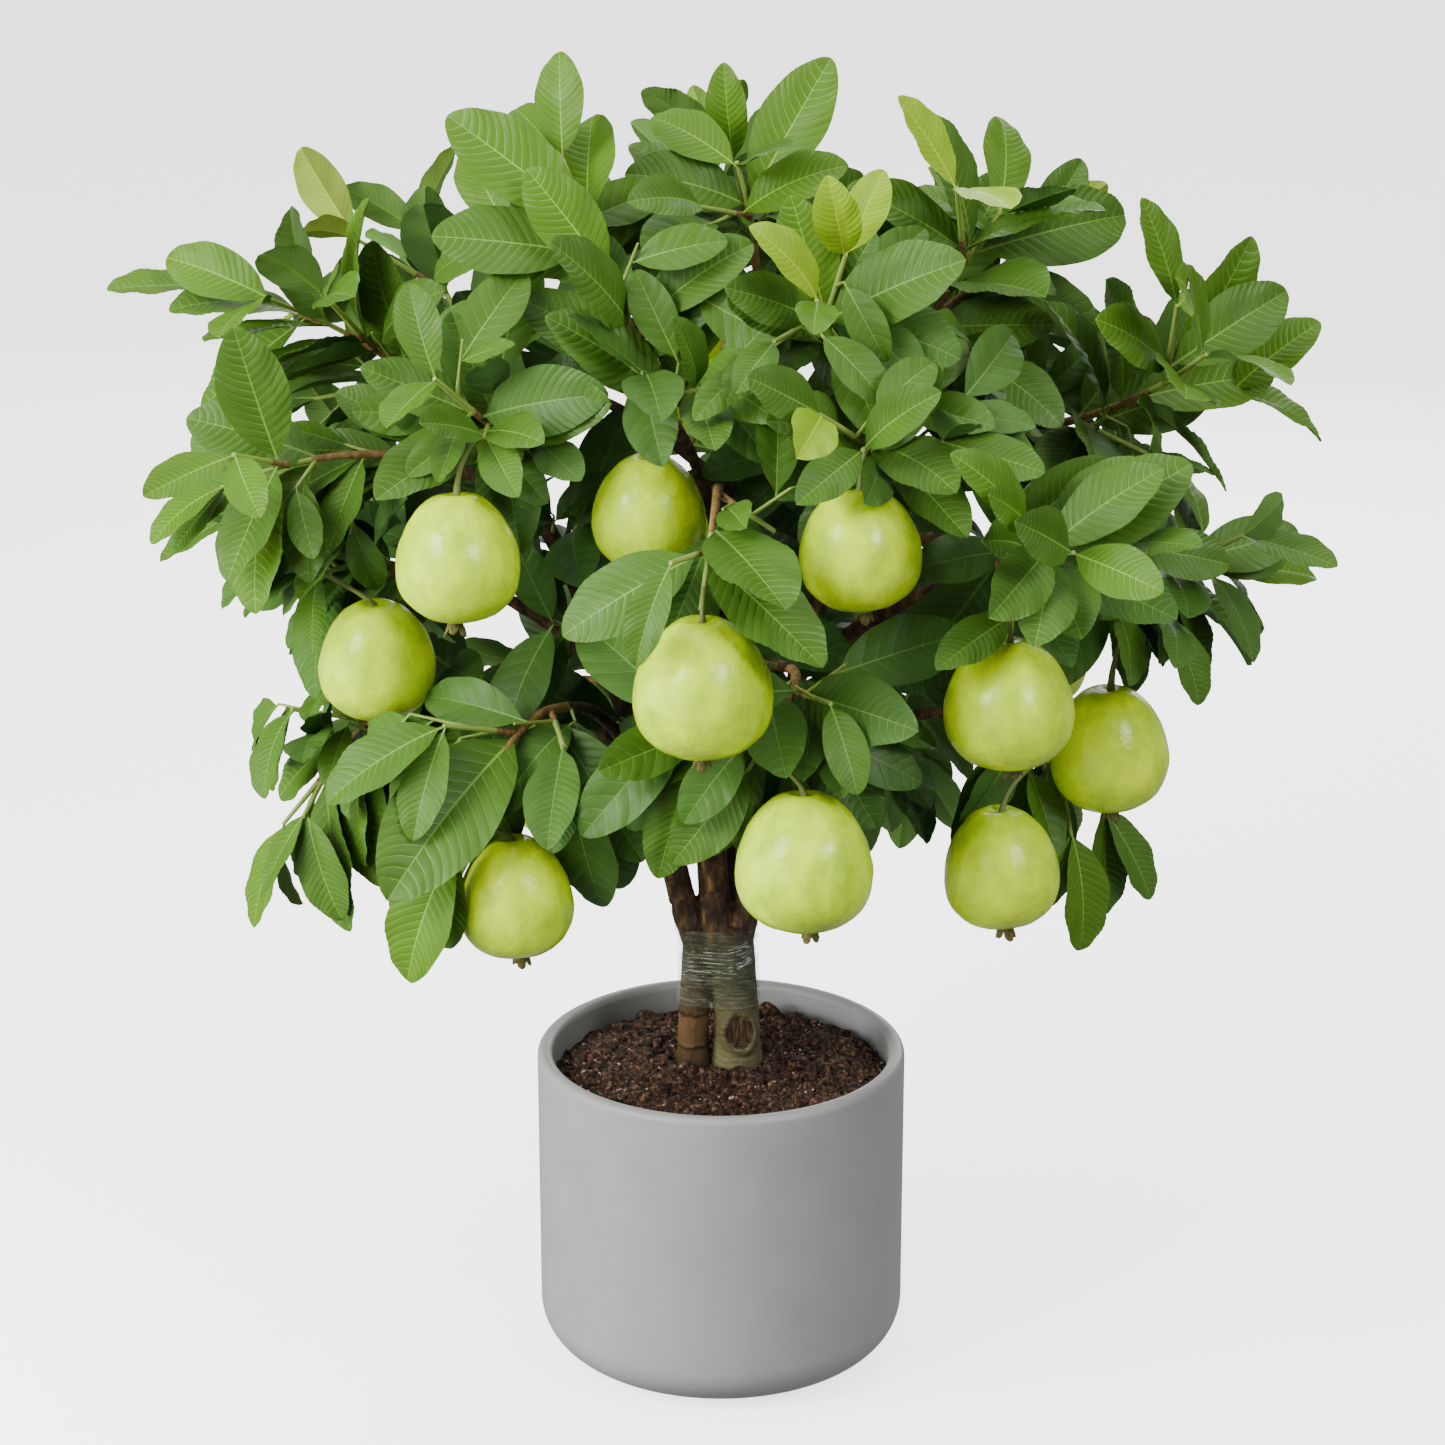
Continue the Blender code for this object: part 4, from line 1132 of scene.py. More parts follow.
def grow_tree(
    name: str, inputs: dict[str, str], steps: Sequence[Step], regions: Sequence[str] = ("Finish",)
) -> bpy.types.NodeTree:
    """The geometry node tree that a table of nodes gives, made once.

    Args:
        name: Its name.
        inputs: Name and socket type of each input beside the geometry and the finishes.
        steps: Its nodes, of which the last gives the geometry. They may use "in" for the inputs, and
            "place" and "normal" for those of each point.
        regions: Name of the finish for each number in the faces' region.

    Returns:
        The tree, which ends by realising its instances and setting its finishes.
    """
    if name in bpy.data.node_groups:
        return bpy.data.node_groups[name]
    tree = bpy.data.node_groups.new(name, "GeometryNodeTree")
    sockets = {"Geometry": "NodeSocketGeometry", **inputs, **dict.fromkeys(regions, "NodeSocketMaterial")}
    for label, kind in sockets.items():
        tree.interface.new_socket(label, in_out="INPUT", socket_type=kind)
    tree.interface.new_socket("Geometry", in_out="OUTPUT", socket_type="NodeSocketGeometry")
    known: dict[str, Any] = {}
    first = (
        ("in", "NodeGroupInput", {}, {}),
        ("place", "GeometryNodeInputPosition", {}, {}),
        ("normal", "GeometryNodeInputNormal", {}, {}),
    )
    add_steps(tree, known, (*first, *steps))
    last: list[Step] = [
        ("made", LOOSE, {}, {"Geometry": steps[-1][0]}),
        ("area", READ, {"data_type": "INT"}, {"Name": "region"}),
    ]
    for number, label in enumerate(regions):
        equal = {"data_type": "INT", "operation": "EQUAL"}
        last.append(("chosen", "FunctionNodeCompare", equal, {"A_INT": "area", "B_INT": number}))
        inputs = {"Geometry": "made", "Selection": "chosen", "Material": "in." + label}
        last.append(("made", "GeometryNodeSetMaterial", {}, inputs))
    add_steps(tree, known, (*last, ("out", "NodeGroupOutput", {}, {"Geometry": "made"})))
    return tree


def new_mesh(name: str, shell: Shell, outward: bool = True) -> bpy.types.Mesh:
    """The smooth mesh of a shell.

    Args:
        name: Its name.
        shell: Its corners and faces.
        outward: Whether its faces are turned to point out.

    Returns:
        The mesh.
    """
    mesh = bpy.data.meshes.new(name)
    mesh.from_pydata(shell[0], [], shell[1])
    if outward:
        bm = bmesh.new()
        bm.from_mesh(mesh)
        bmesh.ops.recalc_face_normals(bm, faces=bm.faces)
        bm.to_mesh(mesh)
        bm.free()
    mesh.shade_smooth()
    return mesh


def add_object(name: str, mesh: bpy.types.Mesh, finish: "Finish | None" = None) -> bpy.types.Object:
    """Links a mesh to the scene as an object, in its finish if it has one.

    Args:
        name: Its name.
        mesh: Its mesh.
        finish: Its finish, unless the mesh has one.

    Returns:
        The object.
    """
    made = bpy.data.objects.new(name, mesh)
    if finish:
        mesh.materials.append(finish.make())
    bpy.context.scene.collection.objects.link(made)
    return made


def bake(made: bpy.types.Object) -> bpy.types.Object:
    """Turns an object with modifiers into a plain mesh and removes them.

    Args:
        made: The object.

    Returns:
        The same object.
    """
    graph = bpy.context.evaluated_depsgraph_get()
    plain = bpy.data.meshes.new_from_object(made.evaluated_get(graph))
    made.modifiers.clear()
    made.data = plain
    return made


def grown(
    name: str, mesh: bpy.types.Mesh, tree: bpy.types.NodeTree, values: dict[str, Any]
) -> bpy.types.Object:
    """Runs a geometry node tree on a mesh.

    Args:
        name: Name of the piece.
        mesh: What the tree starts from.
        tree: The tree.
        values: Values of its inputs by their names.

    Returns:
        The piece as a plain mesh.
    """
    made = add_object(name, mesh)
    modifier = made.modifiers.new("growth", "NODES")
    modifier.node_group = tree
    sockets = {item.name: item.identifier for item in tree.interface.items_tree if item.in_out == "INPUT"}
    for label, value in values.items():
        modifier[sockets[label]] = value
    return bake(made)


def put_values(
    mesh: bpy.types.Mesh, name: str, kind: str, values: Sequence[Any], domain: str = "POINT"
) -> None:
    """Stores one value for each point or face of a mesh as a named attribute.

    Args:
        mesh: The mesh.
        name: Name of the attribute.
        kind: Its type.
        values: The values in order.
        domain: POINT or FACE.
    """
    layer = mesh.attributes.new(name, kind, domain)
    flat = np.array(values, dtype=np.int32 if kind == "INT" else np.float32).ravel()
    layer.data.foreach_set("vector" if kind == "FLOAT_VECTOR" else "value", flat)


def settle(piece: bpy.types.Object, nodes: Sequence[str]) -> None:
    """Rides a piece on the plant's body, hides the model's nodes that it stands for, and reports it.

    Args:
        piece: The finished piece.
        nodes: The model's nodes that it stands for.
    """
    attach(piece, BODY)
    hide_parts(*nodes)
    count = sum(len(face.vertices) - 2 for face in piece.data.polygons)
    LOG.info("%s: %d triangles", piece.name, count)


@dataclass(frozen=True)
class Finish:
    """A surface with an even base colour, whose gloss varies from place to place.

    Attributes:
        name: What it is.
        colour: Base colour; under a pattern, what a viewer without it shows.
        roughness: Lowest and highest roughness.
        grain: Size of the patches of one gloss in metres.
        even: Values that are the same all over, by the shader's socket.
    """

    name: str
    colour: str
    roughness: Pair
    grain: float
    even: tuple[tuple[str, Any], ...] = ()

    def steps(self) -> list[Step]:
        """The nodes of the material, where "at.Object" is the place on the piece.

        Returns:
            The table's rows.
        """
        low, high = self.roughness
        spread = {"Value": "patches", "From Min": 0.3, "From Max": 0.7, "To Min": low, "To Max": high}
        return [
            ("at", "ShaderNodeTexCoord", {}, {}),
            ("patches", NOISE, {}, {"Vector": "at.Object", "Scale": 1 / self.grain, "Detail": 3.0}),
            ("Roughness", SPREAD, {}, spread),
        ]

    def make(self) -> bpy.types.Material:
        """The material, made once: each node that is named as a socket of the shader feeds it.

        Returns:
            The material.
        """
        if self.name in bpy.data.materials:
            return bpy.data.materials[self.name]
        made = bpy.data.materials.new(self.name)
        made.use_nodes = True
        tree, known = made.node_tree, {}
        shader = tree.nodes["Principled BSDF"]
        add_steps(tree, known, self.steps())
        feed(tree, shader, {"Base Color": linear(self.colour), **dict(self.even)})
        feed(tree, shader, {name: node for name, node in known.items() if name in shader.inputs})
        return made


@dataclass(frozen=True)
class Skin(Finish):
    """A leathery or waxy plant surface with a fine relief under its gloss.

    Attributes:
        pore: Size of the relief in metres.
        depth: Height of the relief in metres.
    """

    pore: float = 0.0012
    depth: float = 0.00006

    def steps(self) -> list[Step]:
        """The nodes, with those of the relief.

        Returns:
            The table's rows.
        """
        return super().steps() + [
            ("pores", NOISE, {}, {"Vector": "at.Object", "Scale": 1 / self.pore, "Detail": 2.0}),
            ("Normal", BUMP, {}, {"Height": "pores", "Distance": self.depth, "Strength": 0.6}),
        ]


@dataclass(frozen=True)
class Mottled(Finish):
    """A surface whose colour drifts between several shades, with a relief of its own grain.

    Attributes:
        shades: Places and colours from the darkest to the lightest patches.
        spread: Size of the patches of colour in metres, along each axis.
        relief: Size of the relief in metres.
        depth: Height of the relief in metres.
    """

    shades: tuple[tuple[float, str], ...] = ()
    spread: Triple = (0.01, 0.01, 0.01)
    relief: float = 0.002
    depth: float = 0.0002

    def steps(self) -> list[Step]:
        """The nodes, with those of the drifting colour and the relief.

        Returns:
            The table's rows.
        """
        sized = {"Vector": "at.Object", "Scale": [1 / size for size in self.spread]}
        return super().steps() + [
            ("sized", "ShaderNodeMapping", {}, sized),
            ("clouds", NOISE, {}, {"Vector": "sized", "Scale": 1.0, "Detail": 5.0, "Roughness": 0.62}),
            ("Base Color", RAMP, {"stops": self.shades}, {"Fac": "clouds"}),
            ("coarse", NOISE, {}, {"Vector": "at.Object", "Scale": 1 / self.relief, "Detail": 6.0}),
            ("Normal", BUMP, {}, {"Height": "coarse", "Distance": self.depth, "Strength": 1.0}),
        ]


@dataclass(frozen=True)
class StemBark(Mottled):
    """Bark of the two stems: smooth and olive on the stout one, tan with dark bands on the slim one.

    Above the graft it turns to the dark flaking bark of the limbs, which its shades give.

    Attributes:
        stout: Shades of the stout stem by height.
        slim: Shades of the slim stem by height.
        heights: Heights of the first and last of those shades.
        seam: x at which one stem's bark gives way to the other's.
        fork: Heights between which the limbs' bark takes over.
    """

    stout: tuple[tuple[float, str], ...] = ()
    slim: tuple[tuple[float, str], ...] = ()
    heights: Pair = (0.229, 0.300)
    seam: float = -0.0075
    fork: Pair = (0.326, 0.344)

    def steps(self) -> list[Step]:
        """The nodes, with the limbs' bark above and each stem's own bark below.

        Returns:
            The table's rows.
        """
        colour, both = {"data_type": "RGBA"}, {"data_type": "RGBA", "blend_type": "MULTIPLY"}
        low, high = ({"From Min": first, "From Max": last} for first, last in (self.heights, self.fork))
        above = {"Factor_Float": "rise", "A_Color": "lit", "B_Color": "Base Color"}
        return super().steps() + [
            ("parts", "ShaderNodeSeparateXYZ", {}, {"Vector": "at.Object"}),
            ("wander", NOISE, {}, {"Vector": "at.Object", "Scale": 140.0, "Detail": 4.0}),
            ("level", SPREAD, {}, {"Value": "parts.Z", **low}),
            ("drift", SCALAR, "MULTIPLY_ADD", ("wander", 0.16, -0.08)),
            ("height", SCALAR, "ADD", ("level", "drift")),
            ("beyond", SCALAR, "GREATER_THAN", ("parts.X", self.seam)),
            ("slim", RAMP, {"stops": self.slim}, {"Fac": "height"}),
            ("stout", RAMP, {"stops": self.stout}, {"Fac": "height"}),
            ("stems", MIX, colour, {"Factor_Float": "beyond", "A_Color": "slim", "B_Color": "stout"}),
            ("long", "ShaderNodeMapping", {}, {"Vector": "at.Object", "Scale": (900.0, 900.0, 160.0)}),
            ("streaks", NOISE, {}, {"Vector": "long", "Scale": 1.0, "Detail": 3.0}),
            ("soft", SPREAD, {}, {"Value": "streaks", "To Min": 0.62, "To Max": 1.25}),
            ("lit", MIX, both, {"Factor_Float": 1.0, "A_Color": "stems", "B_Color": "soft"}),
            ("rise", SPREAD, {}, {"Value": "parts.Z", **high}),
            ("Base Color", MIX, colour, above),
        ]


@dataclass(frozen=True)
class Film(Finish):
    """Stretched clear film, which shows the bark between its milky creases.

    Attributes:
        cover: How much it hides where it is clear and where it is creased.
        creases: Size of the creases in metres, along each axis.
    """

    cover: Pair = (0.1, 0.5)
    creases: Triple = (0.012, 0.012, 0.0014)

    def steps(self) -> list[Step]:
        """The nodes, with those of the milky creases and their relief.

        Returns:
            The table's rows.
        """
        low, high = self.cover
        milky = {"Value": "lines", "From Min": 0.46, "From Max": 0.74, "To Min": low, "To Max": high}
        scale = [1 / size for size in self.creases]
        sized = {"Vector": "at.Object", "Rotation": (0.0, 0.22, 0.0), "Scale": scale}
        return super().steps() + [
            ("sized", "ShaderNodeMapping", {}, sized),
            ("lines", NOISE, {}, {"Vector": "sized", "Scale": 1.0, "Detail": 4.0, "Distortion": 0.6}),
            ("Alpha", SPREAD, {}, milky),
            ("Normal", BUMP, {}, {"Height": "lines", "Distance": 0.0006, "Strength": 1.0}),
        ]


class Tone(Enum):
    """The greens of the leaves: the young green of the newest ones, and for the rest one green with painted
    light on leaves high, low and outside in the crown and painted shade on those deep within it.
    """

    YOUNG = "young"
    # Painted light: lighter copies of the mature green for lit leaves
    FRESH = "fresh"
    BRIGHT = "bright"
    MATURE = "mature"
    # Painted shade: darker copies of the mature green for shaded leaves
    DARK = "dark"
    SHADED = "shaded"


# Blade, veins and underside of each tone; after the young tone, the two lighter ones are painted light and
# the two darker ones painted shade on the mature green
LEAF_COLOURS = {
    Tone.YOUNG: ("#7C9E16", "#AEC244", "#8AA23C"),
    Tone.FRESH: ("#507110", "#86A838", "#688836"),
    Tone.BRIGHT: ("#456714", "#749A36", "#587A36"),
    Tone.MATURE: ("#3E5F1A", "#688E38", "#4E7034"),
    Tone.DARK: ("#3A5B1F", "#5A8036", "#466834"),
    Tone.SHADED: ("#2F4E1B", "#4A6E2E", "#3E5E2C"),
}

# Guava leaf: leathery with a thin wax, so the blade has a broad pale sheen and the underside is dull; its
# net of 0.4 mm veins is drawn at 1.2 mm, so that it shows
LEAF_PARTS = (("blade", (0.38, 0.52)), ("vein", (0.45, 0.58)), ("underside", (0.62, 0.74)))
LEAF_FINISHES = {
    tone: tuple(
        Skin(f"guava_leaf_{part}_{tone.value}", colour, gloss, 0.012, (("Specular IOR Level", 0.24),))
        for (part, gloss), colour in zip(LEAF_PARTS, colours)
    )
    for tone, colours in LEAF_COLOURS.items()
}

# Guava skin: smooth and thinly waxed over shallow dimples, so its two highlights break up; clouds of
# yellow-green and green
FRUIT_SKIN = Mottled(
    "guava_fruit_skin", "#A8C200", (0.18, 0.29), 0.010,
    even=(("Coat Weight", 0.12), ("Coat Roughness", 0.22), ("Specular IOR Level", 0.38)),
    shades=((0.30, "#92B200"), (0.45, "#AAC800"), (0.60, "#BEDC00"), (0.78, "#D2EA00")),
    spread=(0.022, 0.022, 0.030), relief=0.0046, depth=0.00050,
)
# Dried calyx: papery brown lobes under the fruit
CALYX_SKIN = Mottled(
    "dried_calyx", "#6E5A34", (0.70, 0.85), 0.003,
    shades=((0.35, "#443A1E"), (0.65, "#6E7034")),
    spread=(0.002, 0.002, 0.004),
)
# Bark of the limbs: dry, dark brown, flaking to lighter wood in strips
LIMB_BARK = Mottled(
    "guava_limb_bark", "#4A3424", (0.68, 0.88), 0.006,
    shades=((0.28, "#120A05"), (0.44, "#2E1F0F"), (0.58, "#4E3A20"), (0.74, "#7E6238")),
    spread=(0.006, 0.006, 0.018), relief=0.0022, depth=0.0009,
)
# Stem bark: smooth green-brown skin that flakes in patches, ringed by the scars of old leaves
STEM_BARK = StemBark(
    "guava_stem_bark", "#6E6A48", (0.50, 0.72), 0.005,
    shades=LIMB_BARK.shades,
    spread=(0.006, 0.006, 0.016), relief=0.0020, depth=0.0006,
    stout=(
        (0.00, "#5E5B3A"), (0.22, "#585436"), (0.45, "#4A4228"), (0.62, "#4C462C"), (0.85, "#403E26"),
        (1.00, "#34361F"),
    ),
    slim=(
        (0.00, "#2C2414"), (0.12, "#3E2E1A"), (0.235, "#42301A"), (0.26, "#20150A"), (0.285, "#4A3820"),
        (0.590, "#5A4226"), (0.625, "#1E140A"), (0.655, "#42321C"), (1.00, "#332F1C"),
    ),
)
# Healed cut: grey-brown end grain with dark upright splits
SCAR_WOOD = Mottled(
    "healed_cut_wood", "#4E3B28", (0.75, 0.90), 0.002,
    shades=((0.36, "#120A06"), (0.50, "#3E2E1C"), (0.72, "#6C583A")),
    spread=(0.0030, 0.0030, 0.0140), relief=0.0016, depth=0.0010,
)
# Woody twig: tan bark that still shows a little green
TWIG_BARK = Mottled(
    "guava_twig_bark", "#7C6438", (0.58, 0.74), 0.004,
    shades=((0.30, "#4E3A20"), (0.50, "#775A32"), (0.72, "#8C7E48")),
    spread=(0.004, 0.004, 0.012), relief=0.0012, depth=0.00025,
)
# Green shoot and fruit stalk: soft new growth with a fine down, duller on the older stalks
SHOOT_SKIN = Skin("guava_green_shoot", "#7E9440", (0.50, 0.62), 0.006)
STALK_SKIN = Skin("guava_fruit_stalk", "#5E6A30", (0.50, 0.62), 0.006)

# Stoneware dipped in satin grey glaze and fired: almost even, with a faint cloud and an orange peel that
# is drawn at 1.6 mm, three times its size, so that it shows
POT_GLAZE = Mottled(
    "satin_grey_stoneware", "#828382", (0.36, 0.46), 0.030,
    shades=((0.30, "#828381"), (0.70, "#898A88")),
    spread=(0.06, 0.06, 0.06), relief=0.0016, depth=0.00003,
)
# Potting soil: peat and compost, dark brown, dull and crumbly; its nearly black patches, dealt at random, are
# partly dark peat and partly painted shade of the hollows between crumbs
SOIL_CRUMB = Mottled(
    "potting_soil", "#2E1D14", (0.88, 0.98), 0.004,
    shades=((0.36, "#080402"), (0.47, "#2A1B13"), (0.57, "#4A3424"), (0.71, "#8C6E58")),
    spread=(0.0036, 0.0036, 0.0036), relief=0.0014, depth=0.0014,
)
# Composted bark chip: flat red-brown flakes that lie between the crumbs
BARK_CHIP = Mottled(
    "composted_bark_chip", "#5A3624", (0.80, 0.92), 0.003,
    shades=((0.30, "#341F17"), (0.55, "#5C3C2A"), (0.78, "#94705A")),
    spread=(0.002, 0.002, 0.005), relief=0.0012, depth=0.0005,
)
# Pale grit: bits of pumice and root that catch the light on the soil
PALE_GRIT = Mottled(
    "pale_grit", "#B09482", (0.70, 0.85), 0.002,
    shades=((0.30, "#8E7060"), (0.70, "#D2BAA8")),
    spread=(0.002, 0.002, 0.002), relief=0.0008,
)
# Grafting film: clear stretched plastic in several layers, milky where it creases; the pale lines of its
# folds are partly milky film and partly painted glints
FILM_SKIN = Film("clear_grafting_film", "#7C7E6A", (0.10, 0.24), 0.004, (), (0.03, 0.34))
FOLD_CREASES = (0.010, 0.010, 0.004)
# Folds: pale lines, partly the milky edges of the windings and partly painted glints
FOLD_SKIN_AND_PAINTED_GLINT = Film("folded_grafting_film", "#D2D6CA", (0.10, 0.22), 0.003, (), (0.0, 0.70), FOLD_CREASES)
# Studio floor: matt white paper that gives a little light of its own, so that it stays white and plain
PAPER_LIGHT = (("Emission Color", (1.0, 1.0, 1.0, 1.0)), ("Emission Strength", 2.2))
FLOOR_PAPER = Finish("matt_white_paper", "#F4F4F4", (0.90, 0.96), 0.20, PAPER_LIGHT)


def arc(centre: Pair, radius: float, first: float, last: float, steps: int) -> list[Pair]:
    """Points (r, z) on an arc between two angles in degrees.

    Args:
        centre: The arc's centre.
        radius: Its radius.
        first: Its first angle.
        last: Its last angle.
        steps: Stretches between them.

    Returns:
        The points, one more than steps.
    """
    angles = [math.radians(first + (last - first) * step / steps) for step in range(steps + 1)]
    return [(centre[0] + radius * math.cos(a), centre[1] + radius * math.sin(a)) for a in angles]


def turned(profile: Sequence[Pair], sides: int) -> Shell:
    """The closed shell turned about Z from a profile of (r, z) that starts and ends off the axis.

    Args:
        profile: The points of the profile.
        sides: Corners of each ring.

    Returns:
        Its corners and faces.
    """
    return tube([level_ring(radius, height, turns_of(sides)) for radius, height in profile])


@dataclass
class Pot:
    """The round grey pot: straight wall, rounded foot and lip, on a low step.

    Attributes:
        radius: Its outer radius.
        height: Its height.
        wall: Thickness of its wall.
        floor: Height of its floor.
        corner: Radius of its foot's rounding.
        foot: Radius and height of the step that it stands on.
        sides: Sides of its rings.
    """

    radius: float = 0.140
    height: float = 0.245
    wall: float = 0.012
    floor: float = 0.016
    corner: float = 0.036
    foot: Pair = (0.102, 0.004)
    sides: int = 160

    def profile(self) -> list[Pair]:
        """The pot's section from the middle of its foot, over the lip, to its floor.

        Returns:
            Its points (r, z).
        """
        inner, lip = self.radius - self.wall, self.wall / 2
        width, level = self.foot
        points = [(width - 0.0015, 0), (width, 0.0015), (width, level)]
        points += arc((self.radius - self.corner, level + self.corner), self.corner, -87, 0, 18)
        points += [(self.radius, self.height * share) for share in (0.30, 0.50, 0.70, 0.90)]
        points += arc((self.radius - lip, self.height - lip), lip, 0, 180, 14)
        points += [(inner, self.height * share) for share in (0.93, 0.8, 0.5)]
        return points + [(inner, self.floor + self.corner), (inner - self.corner * 0.7, self.floor)]

    def build(self) -> None:
        """Makes the pot in its glaze."""
        shell = turned(self.profile(), self.sides)
        pot = add_object("ceramic_pot", new_mesh("ceramic_pot", shell), POT_GLAZE)
        pot.data.set_sharp_from_angle(angle=math.radians(50))
        settle(pot, ["pot"])


@dataclass
class Soil:
    """The potting soil: a mound up to the stems, covered in crumbs, bark chips and pale grit.

    Attributes:
        rim: Radius at which it meets the pot.
        edge: Height there.
        low: Height of its underside.
        corner: Height of its sloping foot.
        inset: How far in that foot goes.
        rings: Rings of its surface.
        sides: Sides of its surface.
        lumps: Height of its lumps and of the finer ones on them.
        kinds: For each kind of crumb its name, finish, count per square metre, smallest and largest
            size, flattening, roundness and seed.
    """

    rim: float = 0.1276
    edge: float = 0.221
    low: float = 0.0164
    corner: float = 0.036
    inset: float = 0.026
    rings: int = 56
    sides: int = 150
    lumps: Pair = (0.00368, 0.0017)
    kinds: tuple[tuple[str, Mottled, float, float, float, Triple, int, int], ...] = (
        ("soil_crumbs", SOIL_CRUMB, 38000.0, 0.0014, 0.0058, (1.0, 0.85, 0.7), 1, 3),
        ("soil_clods", SOIL_CRUMB, 2400.0, 0.0045, 0.0125, (1.0, 0.8, 0.66), 2, 8),
        ("bark_chips", BARK_CHIP, 6200.0, 0.0016, 0.0066, (1.0, 0.42, 0.22), 1, 4),
        ("pale_grit", PALE_GRIT, 9000.0, 0.0006, 0.0019, (1.0, 0.8, 0.7), 1, 5),
    )

    def height(self, radius: float) -> float:
        """The smooth height of the mound at a radius.

        Args:
            radius: Distance from the middle.

        Returns:
            The height.
        """
        places = [0.0, 0.045, self.rim * 0.68, self.rim * 0.90, self.rim]
        heights = [SOIL_HEIGHT, SOIL_HEIGHT, SOIL_HEIGHT + 0.001, self.edge + 0.003, self.edge]
        return float(np.interp(radius, places, heights))

    def raised(self, radius: float, turn: float) -> Vector:
        """A point of the surface with its lumps.

        Args:
            radius: Distance from the middle.
            turn: Direction in radians.

        Returns:
            The point.
        """
        point = Vector((radius * math.cos(turn), radius * math.sin(turn), 0))
        coarse, fine = self.lumps
        lift = coarse * noise.fractal(point * 70, 1.0, 2.0, 3) + fine * noise.noise(point * 420)
        return point + Vector((0, 0, self.height(radius) + lift))

    def surface(self) -> bpy.types.Mesh:
        """The closed mound with its lumps.

        Returns:
            The mesh.
        """
        turns = turns_of(self.sides)
        foot, side = self.rim - self.inset, self.low + self.corner
        body = ((0.0005, self.low), (foot, self.low), (self.rim, side), (self.rim, self.edge - 0.004))
        rings = [level_ring(radius, height, turns) for radius, height in body]
        radii = [self.rim * ring / self.rings for ring in range(self.rings, 0, -1)]
        rings += [[self.raised(radius, a) for a in turns] for radius in radii]
        return new_mesh("soil_mound", tube(rings))

    def tree(self) -> bpy.types.NodeTree:
        """The tree that strews one kind of crumb over the mound and roughens each one.

        Returns:
            The tree.
        """
        sizes = ("Density", "Smallest", "Largest", "Reach")
        seed = {"Seed": "in.Seed"}
        spread = {"Min": (-0.9, -0.9, 0.0), "Max": (0.9, 0.9, math.tau), **seed}
        spots = {"Mesh": "in.Geometry", "Selection": "chosen", "Density": "in.Density", **seed}
        strewn = {"Points": "points", "Instance": "crumb.Geometry", "Rotation": "spin", "Scale": "size"}
        steps = (
            ("level", VECTOR, "MULTIPLY", ("place", (1.0, 1.0, 0.0))),
            ("radius", VECTOR, "LENGTH", ("level",)),
            ("upright", VECTOR, "DOT_PRODUCT", ("normal", (0.0, 0.0, 1.0))),
            ("facing", SCALAR, "GREATER_THAN", ("upright", 0.3)),
            ("within", SCALAR, "LESS_THAN", ("radius", "in.Reach")),
            ("chosen", SCALAR, "MULTIPLY", ("facing", "within")),
            ("points", "GeometryNodeDistributePointsOnFaces", {}, spots),
            ("chance", "FunctionNodeRandomValue", {"data_type": "FLOAT"}, seed),
            ("rare", SCALAR, "POWER", ("chance", 2.6)),
            ("range", SCALAR, "SUBTRACT", ("in.Largest", "in.Smallest")),
            ("size", SCALAR, "MULTIPLY_ADD", ("rare", "range", "in.Smallest")),
            ("turn", "FunctionNodeRandomValue", {"data_type": "FLOAT_VECTOR"}, spread),
            ("spin", "FunctionNodeEulerToRotation", {}, {"Euler": "turn"}),
            ("crumb", "GeometryNodeObjectInfo", {}, {"Object": "in.Crumb"}),
            ("strewn", SET, {}, strewn),
            ("loose", LOOSE, {}, {"Geometry": "strewn"}),
            ("rough", NOISE, {}, {"Vector": "place", "Scale": 420.0, "Detail": 2.0}),
            ("lump", SCALAR, "MULTIPLY_ADD", ("rough", 0.0050, -0.0025)),
            ("push", VECTOR, "SCALE", ("normal", "lump")),
            ("broken", MOVE, {}, {"Geometry": "loose", "Offset": "push"}),
        )
        inputs = {"Crumb": OBJECT, "Seed": "NodeSocketInt", **dict.fromkeys(sizes, FLOAT)}
        return grow_tree("strewn_crumbs", inputs, steps)

    def crumb(self, shape: Sequence[float], roundness: int) -> bpy.types.Object:
        """One crumb of unit size, flattened to a shape.

        Args:
            shape: Its size along each axis.
            roundness: How often its faces are divided.

        Returns:
            The crumb, which is removed once strewn.
        """
        bm = bmesh.new()
        bmesh.ops.create_icosphere(bm, subdivisions=roundness, radius=1.0)
        bmesh.ops.scale(bm, vec=Vector(shape), verts=bm.verts)
        mesh = bpy.data.meshes.new("crumb")
        bm.to_mesh(mesh)
        bm.free()
        return add_object("crumb", mesh)

    def build(self) -> None:
        """Makes the mound and strews each kind of crumb over it."""
        mound = add_object("soil_mound", self.surface(), SOIL_CRUMB)
        pieces = [mound]
        for name, finish, density, small, large, shape, roundness, seed in self.kinds:
            crumb = self.crumb(shape, roundness)
            values = {"Crumb": crumb, "Density": density, "Smallest": small, "Largest": large, "Seed": seed}
            values.update(Reach=self.rim - large, Finish=finish.make())
            pieces.append(grown(name, mound.data.copy(), self.tree(), values))
            bpy.data.objects.remove(crumb)
        for piece in pieces:
            settle(piece, ["soil"])


